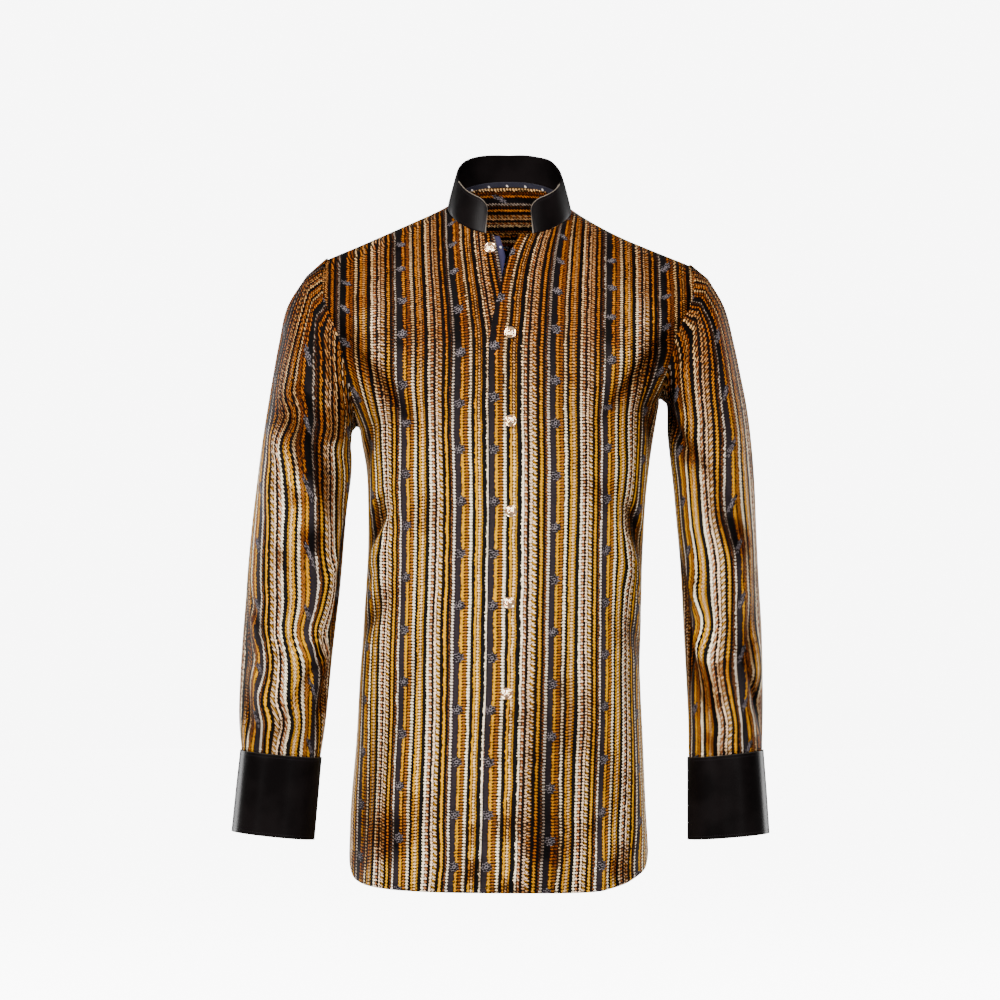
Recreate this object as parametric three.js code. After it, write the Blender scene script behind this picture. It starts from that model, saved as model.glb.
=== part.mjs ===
// Stand-collar shirt, filled out as worn, with no wearer inside.
// Millimetres, +Z up, the front faces -Y, +X is the wearer's left.
// The origin is the middle of the neck base, between the two neck points of the shoulders.
import * as THREE from 'three';

const CLOTH = 1.5;          // wall of the striped cloth
const SATIN = 2.4;          // wall of the collar and the cuffs
const TAPE = 0.9;           // wall of the navy strips
const SEAM = 0.3;           // gap between two pieces at a seam
const ROUND = 2.4;          // how square the body sections are (2 is an ellipse)
const SLEEVE_ROUND = 2.2;   // how square the sleeve sections are
const TIP = 6;              // ring number at the shoulder tip
const NECK = 10;            // ring number at the neck seam
const YOKE_STEP = 6;        // armhole step where the yoke seam meets the armhole
const ARM_STEPS = 10;       // steps from the armpit to the shoulder tip
const ARM_CUT = 35;         // degrees that the armhole cuts into a panel
const LOWER_ROWS = 13;      // rows from the hem to the armpit
const SHOULDER_ROWS = 4;    // rows from the shoulder tip to the neck
const FRONT_COLUMNS = 13;
const BACK_COLUMNS = 22;
const SLEEVE_RINGS = 26;
const COLLAR_HEIGHT = 39;
const COLLAR_LEAN = 15;     // degrees that the collar leans in
const COLLAR_CORNER = 13;   // radius of the collar's front corners
const COLLAR_END = 26.5;     // distance of the collar's ends from the middle
const CUFF_PROUD = 0.8;     // how far the cuff stands out from the sleeve's end
const CUFF_CORNER = 14;     // radius of the cuff's corners
const CUFF_START = 206;     // degrees round the wrist where the cuff's upper end lies
const CUFF_LAP = 26;        // degrees that the cuff's ends overlap
const BUTTON_RADIUS = 6.8;
const BUTTON_HEIGHT = 3.8;
const LAP_STEP = 2.3;       // how far the under front sits behind the over front

// Body sections below the armpits.
const BODY = [
  { z: -770, left: -180, right: 157, front_y: -118, back_y: 114 },
  { z: -719, left: -179, right: 156, front_y: -117, back_y: 113 },
  { z: -665, left: -177, right: 153, front_y: -114, back_y: 111 },
  { z: -594, left: -171, right: 150, front_y: -110, back_y: 107 },
  { z: -522, left: -167, right: 147, front_y: -107, back_y: 101 },
  { z: -450, left: -162, right: 148, front_y: -106, back_y: 97 },
  { z: -379, left: -158, right: 150, front_y: -108, back_y: 98 },
  { z: -325, left: -158, right: 153, front_y: -112, back_y: 103 },
  { z: -289, left: -160, right: 157, front_y: -116, back_y: 108 },
  { z: -253, left: -166, right: 162, front_y: -119, back_y: 112 },
  { z: -212, left: -170, right: 169, front_y: -119, back_y: 113 },
];

// Rings from the armpits (ring 0) over the shoulder tips (ring 6) to the neck (ring 10).
const RINGS = [
  { ring: 0, left: -169, right: 168, left_z: -243, right_z: -212, side_y: 2, front_y: -119, front_z: -234, back_y: 113, back_z: -230 },
  { ring: 1, left: -188, right: 186, left_z: -203, right_z: -180, side_y: 4, front_y: -119, front_z: -210, back_y: 114, back_z: -198 },
  { ring: 2, left: -207, right: 204, left_z: -158, right_z: -146, side_y: 5, front_y: -117, front_z: -188, back_y: 113, back_z: -166 },
  { ring: 3, left: -222, right: 218, left_z: -117, right_z: -114, side_y: 6, front_y: -114, front_z: -168, back_y: 111, back_z: -136 },
  { ring: 4, left: -229, right: 226, left_z: -84, right_z: -88, side_y: 7, front_y: -110, front_z: -150, back_y: 107, back_z: -107 },
  { ring: 5, left: -222, right: 220, left_z: -64, right_z: -71, side_y: 8, front_y: -106, front_z: -136, back_y: 102, back_z: -84 },
  { ring: 6, left: -203, right: 202, left_z: -55, right_z: -62, side_y: 8, front_y: -102, front_z: -125, back_y: 96, back_z: -63 },
  { ring: 7, left: -165, right: 165, left_z: -39, right_z: -47, side_y: 8, front_y: -92, front_z: -100, back_y: 86, back_z: -36 },
  { ring: 8, left: -124, right: 124, left_z: -21, right_z: -30, side_y: 8, front_y: -82, front_z: -76, back_y: 77, back_z: -13 },
  { ring: 9, left: -92, right: 92, left_z: -7, right_z: -14, side_y: 8, front_y: -71, front_z: -53, back_y: 67, back_z: 6 },
  { ring: 10, left: -69, right: 70, left_z: 2, right_z: -2, side_y: 8, front_y: -61, front_z: -31, back_y: 58, back_z: 23 },
];

// Height of the hem round the body, by the angle from the centre front.
const HEM = [
  { angle: -180, z: -760 }, { angle: -140, z: -757 }, { angle: -112, z: -742 },
  { angle: -90, z: -716 }, { angle: -80, z: -731 }, { angle: -69, z: -746 },
  { angle: -52, z: -753 }, { angle: -30, z: -756 }, { angle: 0, z: -757 },
  { angle: 30, z: -757 }, { angle: 39, z: -755 }, { angle: 51, z: -749 },
  { angle: 57, z: -744 }, { angle: 70, z: -733 }, { angle: 90, z: -716 },
  { angle: 112, z: -742 }, { angle: 140, z: -757 }, { angle: 180, z: -760 },
];

// Front edges: the over front's edge, the under front's edge and the line of the buttons.
const FRONT_EDGES = [
  { z: -770, over: -33, under: 8, button: -8 },
  { z: -654, over: -29, under: 10, button: -5 },
  { z: -538, over: -26, under: 12, button: -3 },
  { z: -337, over: -23, under: 16, button: 2 },
  { z: -170, over: -23, under: 15, button: 1 },
  { z: -135, over: -20, under: 11, button: 1 },
  { z: -107, over: -14.5, under: 1, button: 0 },
  { z: -88, over: -9.5, under: -6, button: -6 },
  { z: -74, over: -6.2, under: -8.5, button: -13 },
  { z: -60, over: -2.4, under: -10.4, button: -18 },
  { z: -44, over: 4, under: -13.7, button: -21 },
  { z: -28, over: 12, under: -18, button: -25 },
];

// Troughs (deep below zero) and ridges of the body cloth.
// angle: degrees from the centre front, wide and long: across and along the fold,
// lean: degrees that the fold leans from upright, toward the wearer's left at its top.
const BODY_FOLDS = [
  { angle: -64, z: -352, wide: 13, long: 38, deep: -6.5, lean: 52 },
  { angle: -60, z: -388, wide: 13, long: 34, deep: 4.5, lean: 50 },
  { angle: -48, z: -318, wide: 15, long: 44, deep: 3.0, lean: 40 },
  { angle: -66, z: -455, wide: 15, long: 40, deep: -3.5, lean: 60 },
  { angle: 66, z: -362, wide: 14, long: 38, deep: -5.0, lean: -50 },
  { angle: 58, z: -404, wide: 14, long: 42, deep: 3.5, lean: -46 },
  { angle: 70, z: -482, wide: 15, long: 42, deep: -3.0, lean: -58 },
  { angle: -70, z: -268, wide: 12, long: 34, deep: -4.0, lean: 48 },
  { angle: 70, z: -244, wide: 12, long: 36, deep: -4.0, lean: -46 },
  { angle: -47, z: -176, wide: 12, long: 52, deep: -3.6, lean: -22 },
  { angle: -37, z: -150, wide: 14, long: 60, deep: 2.4, lean: -14 },
  { angle: 48, z: -168, wide: 12, long: 50, deep: -3.6, lean: 22 },
  { angle: 36, z: -146, wide: 14, long: 58, deep: 2.4, lean: 15 },
  { angle: 37, z: -738, wide: 8, long: 30, deep: 3.6, lean: 4 },
  { angle: -28, z: -690, wide: 22, long: 120, deep: 3.0, lean: 3 },
  { angle: 14, z: -676, wide: 24, long: 130, deep: -3.0, lean: -2 },
  { angle: -60, z: -676, wide: 20, long: 90, deep: -3.4, lean: 6 },
  { angle: 62, z: -660, wide: 20, long: 96, deep: 3.2, lean: -5 },
  { angle: 118, z: -372, wide: 14, long: 42, deep: -5.0, lean: 52 },
  { angle: 140, z: -410, wide: 16, long: 52, deep: 4.0, lean: 44 },
  { angle: 160, z: -360, wide: 15, long: 46, deep: -3.6, lean: 40 },
  { angle: -116, z: -384, wide: 14, long: 40, deep: -5.0, lean: -54 },
  { angle: -142, z: -424, wide: 16, long: 50, deep: 3.8, lean: -42 },
  { angle: -164, z: -366, wide: 15, long: 44, deep: -3.0, lean: -38 },
  { angle: 128, z: -200, wide: 13, long: 52, deep: -3.6, lean: -24 },
  { angle: -128, z: -214, wide: 13, long: 52, deep: -3.6, lean: 22 },
  { angle: 120, z: -660, wide: 20, long: 90, deep: -3.2, lean: 5 },
  { angle: 152, z: -680, wide: 22, long: 110, deep: 3.4, lean: 2 },
  { angle: -124, z: -664, wide: 20, long: 94, deep: -3.0, lean: -4 },
  { angle: -158, z: -690, wide: 22, long: 112, deep: 3.2, lean: -3 },
];

// Sleeve rings: outer and inner points as seen from the front, half depth, middle y.
const SLEEVE_RIGHT = [
  { outer_x: -226, outer_z: -75, inner_x: -176.5, inner_z: -247, half: 67, middle_y: 4 },
  { outer_x: -247, outer_z: -109, inner_x: -177.5, inner_z: -251, half: 69, middle_y: 4 },
  { outer_x: -256, outer_z: -148, inner_x: -178.0, inner_z: -257, half: 69, middle_y: 3 },
  { outer_x: -263, outer_z: -186, inner_x: -178.5, inner_z: -266, half: 68, middle_y: 3 },
  { outer_x: -269, outer_z: -222, inner_x: -177.5, inner_z: -279, half: 67, middle_y: 2 },
  { outer_x: -275, outer_z: -262, inner_x: -178.0, inner_z: -297, half: 65, middle_y: 1 },
  { outer_x: -281, outer_z: -308, inner_x: -180.5, inner_z: -324, half: 63, middle_y: 0 },
  { outer_x: -287, outer_z: -360, inner_x: -184.5, inner_z: -369, half: 61, middle_y: -2 },
  { outer_x: -292, outer_z: -415, inner_x: -190.0, inner_z: -423, half: 58, middle_y: -5 },
  { outer_x: -296, outer_z: -470, inner_x: -196.0, inner_z: -478, half: 55, middle_y: -9 },
  { outer_x: -299, outer_z: -524, inner_x: -202.0, inner_z: -532, half: 52, middle_y: -13 },
  { outer_x: -300, outer_z: -567, inner_x: -206.5, inner_z: -575, half: 48, middle_y: -17 },
  { outer_x: -297, outer_z: -604, inner_x: -212.0, inner_z: -612, half: 39, middle_y: -20 },
];
const SLEEVE_LEFT = [
  { outer_x: 222, outer_z: -78, inner_x: 177.5, inner_z: -216, half: 66, middle_y: 4 },
  { outer_x: 240, outer_z: -110, inner_x: 178.5, inner_z: -221, half: 68, middle_y: 4 },
  { outer_x: 250, outer_z: -148, inner_x: 178.8, inner_z: -228, half: 68, middle_y: 3 },
  { outer_x: 258, outer_z: -186, inner_x: 178.8, inner_z: -238, half: 67, middle_y: 3 },
  { outer_x: 265, outer_z: -222, inner_x: 179.2, inner_z: -253, half: 66, middle_y: 2 },
  { outer_x: 270, outer_z: -262, inner_x: 182.0, inner_z: -280, half: 64, middle_y: 1 },
  { outer_x: 273.5, outer_z: -308, inner_x: 186.0, inner_z: -316, half: 62, middle_y: 0 },
  { outer_x: 275.5, outer_z: -360, inner_x: 190.0, inner_z: -367, half: 60, middle_y: -2 },
  { outer_x: 278, outer_z: -415, inner_x: 194.0, inner_z: -421, half: 57, middle_y: -5 },
  { outer_x: 281, outer_z: -470, inner_x: 197.0, inner_z: -476, half: 54, middle_y: -9 },
  { outer_x: 282, outer_z: -524, inner_x: 199.5, inner_z: -530, half: 51, middle_y: -13 },
  { outer_x: 282, outer_z: -567, inner_x: 201.5, inner_z: -573, half: 47, middle_y: -17 },
  { outer_x: 281, outer_z: -604, inner_x: 202.0, inner_z: -612, half: 38, middle_y: -20 },
];

// Cuff ends: the same columns, top and bottom.
const CUFF_RIGHT = [
  { outer_x: -297, outer_z: -604.6, inner_x: -212, inner_z: -612.6, half: 39, middle_y: -20 },
  { outer_x: -306, outer_z: -694, inner_x: -220, inner_z: -703, half: 40, middle_y: -24 },
];
const CUFF_LEFT = [
  { outer_x: 281, outer_z: -604.6, inner_x: 202, inner_z: -612.6, half: 38, middle_y: -20 },
  { outer_x: 287, outer_z: -696, inner_x: 202, inner_z: -703, half: 39, middle_y: -24 },
];

// Troughs and ridges of the sleeves. turn: 0 outer, 90 front, 180 inner, 270 back.
const FOLDS_RIGHT = [
  { turn: 172, z: -386, wide: 13, long: 46, deep: -6.0, lean: 12 },
  { turn: 150, z: -420, wide: 14, long: 42, deep: 4.0, lean: 20 },
  { turn: 168, z: -452, wide: 12, long: 42, deep: -6.0, lean: -10 },
  { turn: 30, z: -478, wide: 14, long: 40, deep: -4.5, lean: -24 },
  { turn: 110, z: -500, wide: 14, long: 40, deep: 3.5, lean: 30 },
  { turn: 40, z: -556, wide: 12, long: 42, deep: -4.5, lean: -14 },
  { turn: 150, z: -548, wide: 12, long: 36, deep: -3.5, lean: 18 },
  { turn: 76, z: -250, wide: 15, long: 46, deep: -4.0, lean: -50 },
  { turn: 110, z: -296, wide: 15, long: 46, deep: -4.0, lean: -44 },
  { turn: 60, z: -330, wide: 16, long: 46, deep: 3.2, lean: -36 },
  { turn: 250, z: -400, wide: 15, long: 46, deep: -5.0, lean: 20 },
  { turn: 230, z: -450, wide: 14, long: 44, deep: -4.5, lean: -14 },
  { turn: 300, z: -500, wide: 15, long: 44, deep: 3.6, lean: 24 },
  { turn: 270, z: -290, wide: 15, long: 50, deep: -3.6, lean: 46 },
];
const FOLDS_LEFT = [
  { turn: 152, z: -238, wide: 12, long: 32, deep: -4.0, lean: 30 },
  { turn: 120, z: -276, wide: 14, long: 44, deep: -3.6, lean: 42 },
  { turn: 160, z: -440, wide: 14, long: 50, deep: -7.0, lean: 16 },
  { turn: 140, z: -470, wide: 13, long: 44, deep: 4.4, lean: 22 },
  { turn: 160, z: -504, wide: 13, long: 40, deep: -4.6, lean: -12 },
  { turn: 130, z: -532, wide: 12, long: 38, deep: -3.6, lean: 18 },
  { turn: 34, z: -552, wide: 13, long: 40, deep: -4.6, lean: 22 },
  { turn: 50, z: -470, wide: 15, long: 44, deep: -3.6, lean: -20 },
  { turn: 70, z: -360, wide: 16, long: 50, deep: -3.6, lean: 34 },
  { turn: 88, z: -410, wide: 15, long: 42, deep: 3.4, lean: 30 },
  { turn: 250, z: -420, wide: 15, long: 46, deep: -5.0, lean: -20 },
  { turn: 226, z: -468, wide: 14, long: 44, deep: -4.4, lean: 14 },
  { turn: 300, z: -512, wide: 15, long: 44, deep: 3.6, lean: -22 },
  { turn: 272, z: -296, wide: 15, long: 50, deep: -3.6, lean: -44 },
];

// Buttons of the front: their heights. The top one is unfastened, on the under front.
const BUTTON_ROWS = [
  { name: 'button_1', z: -47, on: 'under' },
  { name: 'button_2', z: -141, on: 'over' },
  { name: 'button_3', z: -238, on: 'over' },
  { name: 'button_4', z: -337, on: 'over' },
  { name: 'button_5', z: -438, on: 'over' },
  { name: 'button_6', z: -538, on: 'over' },
];

const rad = (degrees) => degrees * Math.PI / 180;
const clamp = (x, low, high) => Math.min(high, Math.max(low, x));
const mix = (a, b, k) => a + (b - a) * k;
const smooth = (x) => { const k = clamp(x, 0, 1); return k * k * (3 - 2 * k); };

// A smooth curve through one column of a table, held level past its ends.
function column(table, key, name) {
  const x = table.map((row) => row[key]);
  const y = table.map((row) => row[name]);
  const last = x.length - 1;
  const slope = x.map((_, i) => {
    const a = Math.max(0, i - 1);
    const b = Math.min(last, i + 1);
    return (y[b] - y[a]) / (x[b] - x[a]);
  });
  return (at) => {
    const v = clamp(at, x[0], x[last]);
    let i = 0;
    while (i < last - 1 && v > x[i + 1]) i += 1;
    const h = x[i + 1] - x[i];
    const k = (v - x[i]) / h;
    const k2 = k * k;
    const k3 = k2 * k;
    return (2 * k3 - 3 * k2 + 1) * y[i] + (k3 - 2 * k2 + k) * h * slope[i]
      + (3 * k2 - 2 * k3) * y[i + 1] + (k3 - k2) * h * slope[i + 1];
  };
}

function columns(table, key, names) {
  const made = {};
  for (const name of names) made[name] = column(table, key, name);
  return made;
}

const numbered = (table) => table.map((row, i) => ({ ...row, row: i }));
const body = columns(BODY, 'z', ['left', 'right', 'front_y', 'back_y']);
const ringOf = columns(RINGS, 'ring',
  ['left', 'right', 'left_z', 'right_z', 'side_y', 'front_y', 'front_z', 'back_y', 'back_z']);
const hemHeight = column(HEM, 'angle', 'z');
const edgeOf = columns(FRONT_EDGES, 'z', ['over', 'under', 'button']);

// Unit section: how far to the side and how far to the front a point lies.
function section(angle, square) {
  const s = Math.sin(rad(angle));
  const c = Math.cos(rad(angle));
  const w = (Math.abs(s) ** square + Math.abs(c) ** square) ** (-1 / square);
  return { side: s * w, front: c * w };
}

// Sum of the folds at a place, across and up in millimetres.
function folds(table, key, scale, at, z) {
  let sum = 0;
  for (const fold of table) {
    let turn = at - fold[key];
    turn -= 360 * Math.round(turn / 360);
    const across = turn * scale;
    const up = z - fold.z;
    const c = Math.cos(rad(fold.lean));
    const s = Math.sin(rad(fold.lean));
    const a = (across * c - up * s) / fold.wide;
    const b = (across * s + up * c) / fold.long;
    const far = a * a + b * b;
    if (far < 9) sum += fold.deep * Math.exp(-far);
  }
  return sum;
}

// Height of ring t at an angle; t runs -1 (hem), 0 (armpit), 6 (shoulder tip), 10 (neck).
function ringHeight(angle, t, front) {
  const side = angle < 0 ? ringOf.left_z(t) : ringOf.right_z(t);
  const end = front >= 0 ? ringOf.front_z(t) : ringOf.back_z(t);
  return side + (end - side) * Math.abs(front) ** 1.5;
}

function torsoBare(angle, t) {
  const turn = angle - 360 * Math.round(angle / 360);
  const at = section(turn, ROUND);
  if (t < 0) {
    const top = ringHeight(turn, 0, at.front);
    const z = mix(top, hemHeight(turn), -t);
    const wide = turn < 0 ? -body.left(z) : body.right(z);
    const deep = at.front >= 0 ? 2 - body.front_y(z) : body.back_y(z) - 2;
    return new THREE.Vector3(wide * at.side, 2 - deep * at.front, z);
  }
  const wide = turn < 0 ? -ringOf.left(t) : ringOf.right(t);
  const y0 = ringOf.side_y(t);
  const deep = at.front >= 0 ? y0 - ringOf.front_y(t) : ringOf.back_y(t) - y0;
  return new THREE.Vector3(wide * at.side, y0 - deep * at.front, ringHeight(turn, t, at.front));
}

function facing(point, u, v, du, dv, low, high) {
  const v0 = Math.max(low, v - dv);
  const v1 = Math.min(high, v + dv);
  const a = point(u + du, v).sub(point(u - du, v));
  const b = point(u, v1).sub(point(u, v0));
  return a.cross(b).normalize();
}

const torsoOut = (angle, t) => facing(torsoBare, angle, t, 0.4, 0.02, -1, NECK);

function torso(angle, t) {
  const p = torsoBare(angle, t);
  const fade = smooth((NECK - t) / 3);
  const lift = folds(BODY_FOLDS, 'angle', 2.5, angle, p.z) * fade;
  return lift === 0 ? p : p.addScaledVector(torsoOut(angle, t), lift);
}

const torsoNormal = (angle, t) => facing(torso, angle, t, 0.6, 0.03, -1, NECK);

// The angle at which ring t crosses a distance x from the middle of the front.
function angleAt(x, t) {
  const z = frontHeight(t);
  const left = t < 0 ? -body.left(z) : -ringOf.left(t);
  const right = t < 0 ? body.right(z) : ringOf.right(t);
  const side = clamp(Math.abs(x) / (x < 0 ? left : right), 0, 0.999);
  const front = (1 - side ** ROUND) ** (1 / ROUND);
  return Math.sign(x) * Math.atan2(side, front) * 180 / Math.PI;
}

function frontHeight(t) {
  return t < 0 ? mix(ringOf.front_z(0), hemHeight(0), -t) : ringOf.front_z(t);
}

// The ring that passes the centre front at a height.
function ringAtHeight(z) {
  let low = -1;
  let high = NECK;
  for (let i = 0; i < 40; i += 1) {
    const half = (low + high) / 2;
    if (frontHeight(half) < z) low = half;
    else high = half;
  }
  return (low + high) / 2;
}

// The armhole, step 0 at the armpit and step 10 at the shoulder tip.
const armRing = (step) => TIP / 2 * (1 - Math.cos(Math.PI * step / ARM_STEPS));
const armCut = (step) => ARM_CUT * Math.sin(Math.PI * step / ARM_STEPS);

// Rows of a body panel, from the hem (or from a first armhole step) up to a last one.
function panelRows(low, high) {
  const rows = [];
  if (low < 0) {
    for (let i = 0; i < LOWER_ROWS; i += 1) rows.push({ t: -1 + i / LOWER_ROWS, cut: 0 });
  }
  const first = Math.max(0, low);
  for (let i = first; i <= Math.min(high, ARM_STEPS); i += 1) rows.push({ t: armRing(i), cut: armCut(i) });
  if (high > ARM_STEPS) {
    for (let i = 1; i <= SHOULDER_ROWS; i += 1) rows.push({ t: TIP + (NECK - TIP) * i / SHOULDER_ROWS, cut: 0 });
  }
  return rows;
}

// A closed wall over a grid of outer points and their outward directions.
function wall(across, up, place, thick, ring = false) {
  const points = [];
  const faces = [];
  const wide = ring ? across : across + 1;
  for (const inside of [false, true]) {
    for (let j = 0; j <= up; j += 1) {
      for (let i = 0; i < wide; i += 1) {
        const at = place(i, j);
        const p = at.p.clone();
        if (inside) p.addScaledVector(at.n, -thick);
        points.push(p);
      }
    }
  }
  const outer = (i, j) => j * wide + (ring ? i % across : i);
  const inner = (i, j) => (up + 1) * wide + outer(i, j);
  const quad = (a, b, c, d) => faces.push(a, b, c, a, c, d);
  for (let j = 0; j < up; j += 1) {
    for (let i = 0; i < across; i += 1) {
      quad(outer(i, j), outer(i + 1, j), outer(i + 1, j + 1), outer(i, j + 1));
      quad(inner(i, j), inner(i, j + 1), inner(i + 1, j + 1), inner(i + 1, j));
    }
  }
  for (let i = 0; i < across; i += 1) {
    quad(outer(i + 1, 0), outer(i, 0), inner(i, 0), inner(i + 1, 0));
    quad(outer(i, up), outer(i + 1, up), inner(i + 1, up), inner(i, up));
  }
  if (!ring) {
    for (let j = 0; j < up; j += 1) {
      quad(outer(0, j), outer(0, j + 1), inner(0, j + 1), inner(0, j));
      quad(outer(across, j + 1), outer(across, j), inner(across, j), inner(across, j + 1));
    }
  }
  return closedMesh(points, faces);
}

// Geometry from points and faces, turned so that the faces point out.
function closedMesh(points, faces) {
  let volume = 0;
  for (let i = 0; i < faces.length; i += 3) {
    const [a, b, c] = [points[faces[i]], points[faces[i + 1]], points[faces[i + 2]]];
    volume += a.dot(b.clone().cross(c));
  }
  const order = volume < 0 ? [0, 2, 1] : [0, 1, 2];
  const index = [];
  for (let i = 0; i < faces.length; i += 3) for (const k of order) index.push(faces[i + k]);
  const flat = new Float32Array(points.length * 3);
  points.forEach((p, i) => p.toArray(flat, i * 3));
  const geometry = new THREE.BufferGeometry();
  geometry.setAttribute('position', new THREE.BufferAttribute(flat, 3));
  geometry.setIndex(index);
  geometry.computeVertexNormals();
  return geometry;
}

// Turns an angle by a distance along its ring.
function turned(angle, t, distance) {
  const speed = torso(angle + 0.5, t).distanceTo(torso(angle - 0.5, t));
  return angle + distance / speed;
}

const onTorso = (angle, t) => ({ p: torso(angle, t), n: torsoNormal(angle, t) });

// Moves a point along its column, for the gap at a seam that runs round the body.
function shifted(angle, t, distance) {
  const at = onTorso(angle, t);
  const low = torso(angle, Math.max(-1, t - 0.05));
  const high = torso(angle, Math.min(NECK, t + 0.05));
  at.p.addScaledVector(high.sub(low).normalize(), distance);
  return at;
}

// How far the under front lies behind the body's surface, close to and under the over front.
const lapSink = (x, z) => LAP_STEP * smooth((x - edgeOf.over(z) + 12) / 9);

function frontPanel(side) {
  const rows = panelRows(-1, ARM_STEPS + 1);
  const over = side > 0;
  return wall(FRONT_COLUMNS, rows.length - 1, (i, j) => {
    const { t, cut } = rows[j];
    const z = frontHeight(t);
    const edge = over ? edgeOf.over(z) : edgeOf.under(z);
    const far = cut > 0.001 ? side * (90 - cut) : turned(side * 90, t, -side * SEAM / 2);
    const bend = Math.min(edge, edgeOf.over(z)) - 3;
    let angle = mix(angleAt(edge, t), far, i / FRONT_COLUMNS);
    if (!over && i <= 2) angle = angleAt(mix(edge, bend, i / 2), t);
    if (!over && i > 2) angle = mix(angleAt(bend - 10, t), far, (i - 3) / (FRONT_COLUMNS - 3));
    const at = onTorso(angle, t);
    if (!over) at.p.addScaledVector(at.n, -lapSink(at.p.x, z));
    return at;
  }, CLOTH);
}

function backPanel() {
  const rows = panelRows(-1, YOKE_STEP);
  const top = rows.length - 1;
  return wall(BACK_COLUMNS, top, (i, j) => {
    const { t, cut } = rows[j];
    const inset = cut > 0.001 ? cut : turned(90, t, SEAM / 2) - 90;
    const angle = mix(90 + inset, 270 - inset, i / BACK_COLUMNS);
    return j === top ? shifted(angle, t, -SEAM / 2) : onTorso(angle, t);
  }, CLOTH);
}

function yoke() {
  const rows = panelRows(YOKE_STEP, ARM_STEPS + 1);
  return wall(BACK_COLUMNS, rows.length - 1, (i, j) => {
    const { t, cut } = rows[j];
    const inset = cut > 0.001 ? cut : turned(90, t, SEAM / 2) - 90;
    const angle = mix(90 + inset, 270 - inset, i / BACK_COLUMNS);
    return j === 0 ? shifted(angle, t, SEAM / 2) : onTorso(angle, t);
  }, CLOTH);
}

// A point of the armhole seam with its outward direction and the way to the sleeve.
function armhole(side, turn) {
  const step = turn <= 180 ? ARM_STEPS - turn / 18 : turn / 18 - ARM_STEPS;
  const front = turn <= 180 ? 1 : -1;
  const angleOf = (k, f) => side * (90 - f * armCut(k));
  const pointOf = (k, f) => torso(angleOf(k, f), armRing(k));
  const n = torsoNormal(angleOf(step, front), armRing(step));
  let along;
  if (step <= 0.01) along = pointOf(0.5, -1).sub(pointOf(0.5, 1));
  else if (step >= ARM_STEPS - 0.01) along = pointOf(step - 0.5, 1).sub(pointOf(step - 0.5, -1));
  else along = pointOf(step - 0.4, front).sub(pointOf(step + 0.4, front)).multiplyScalar(front);
  const away = along.cross(n).normalize();
  const p = pointOf(step, front);
  const heart = new THREE.Vector3(side * 200, 4, -150);
  if (away.dot(heart.sub(p)) < 0) away.negate();
  return { p, n, away };
}

function sleeveTable(table) {
  return columns(numbered(table), 'row', ['outer_x', 'outer_z', 'inner_x', 'inner_z', 'half', 'middle_y']);
}

function tubePoint(ring, turn, row) {
  const at = section(turn, SLEEVE_ROUND);
  const outer = new THREE.Vector3(ring.outer_x(row), 0, ring.outer_z(row));
  const inner = new THREE.Vector3(ring.inner_x(row), 0, ring.inner_z(row));
  const p = outer.clone().add(inner).multiplyScalar(0.5);
  p.addScaledVector(outer.sub(inner).multiplyScalar(0.5), at.front);
  p.y = ring.middle_y(row) - ring.half(row) * at.side;
  return p;
}

// The sleeve's surface: turn 0 outer, 90 front, 180 inner, 270 back; row down the table.
function sleeveSurface(side) {
  const ring = sleeveTable(side < 0 ? SLEEVE_RIGHT : SLEEVE_LEFT);
  const last = (side < 0 ? SLEEVE_RIGHT : SLEEVE_LEFT).length - 1;
  const table = side < 0 ? FOLDS_RIGHT : FOLDS_LEFT;
  const bare = (turn, row) => tubePoint(ring, turn, row);
  const out = (turn, row) => facing(bare, turn, row, 1, 0.05, 0, last).multiplyScalar(side);
  const point = (turn, row) => {
    const p = bare(turn, row);
    const fade = smooth((last - row) / 0.8) * smooth(row / 1.5);
    return p.addScaledVector(out(turn, row), fade * folds(table, 'turn', 1.0, turn, p.z));
  };
  const normal = (turn, row) => facing(point, turn, row, 1.5, 0.06, 0, last).multiplyScalar(side);
  return { point, normal, last };
}

function sleeve(side) {
  const { point, normal, last } = sleeveSurface(side);
  const rows = [];
  for (let i = 0; i <= SLEEVE_RINGS; i += 1) rows.push(last * (i / SLEEVE_RINGS));
  return wall(2 * ARM_STEPS, rows.length + 1, (i, j) => {
    const turn = i * 18;
    if (j < 2) {
      const seam = armhole(side, turn);
      seam.p.addScaledVector(seam.away, j === 0 ? SEAM + 0.05 : 2.4);
      if (j === 1) seam.n.add(normal(turn, 0)).addScaledVector(seam.away, -0.001).normalize();
      return seam;
    }
    return { p: point(turn, rows[j - 2]), n: normal(turn, rows[j - 2]) };
  }, CLOTH, true);
}

function cuffSurface(side) {
  const ring = sleeveTable(side < 0 ? CUFF_RIGHT : CUFF_LEFT);
  const bare = (turn, row) => tubePoint(ring, turn, row);
  const normal = (turn, row) => facing(bare, turn, row, 1, 0.05, 0, 1).multiplyScalar(side);
  const point = (turn, row) => bare(turn, row).addScaledVector(normal(turn, row), CUFF_PROUD);
  return { point, normal };
}

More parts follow.
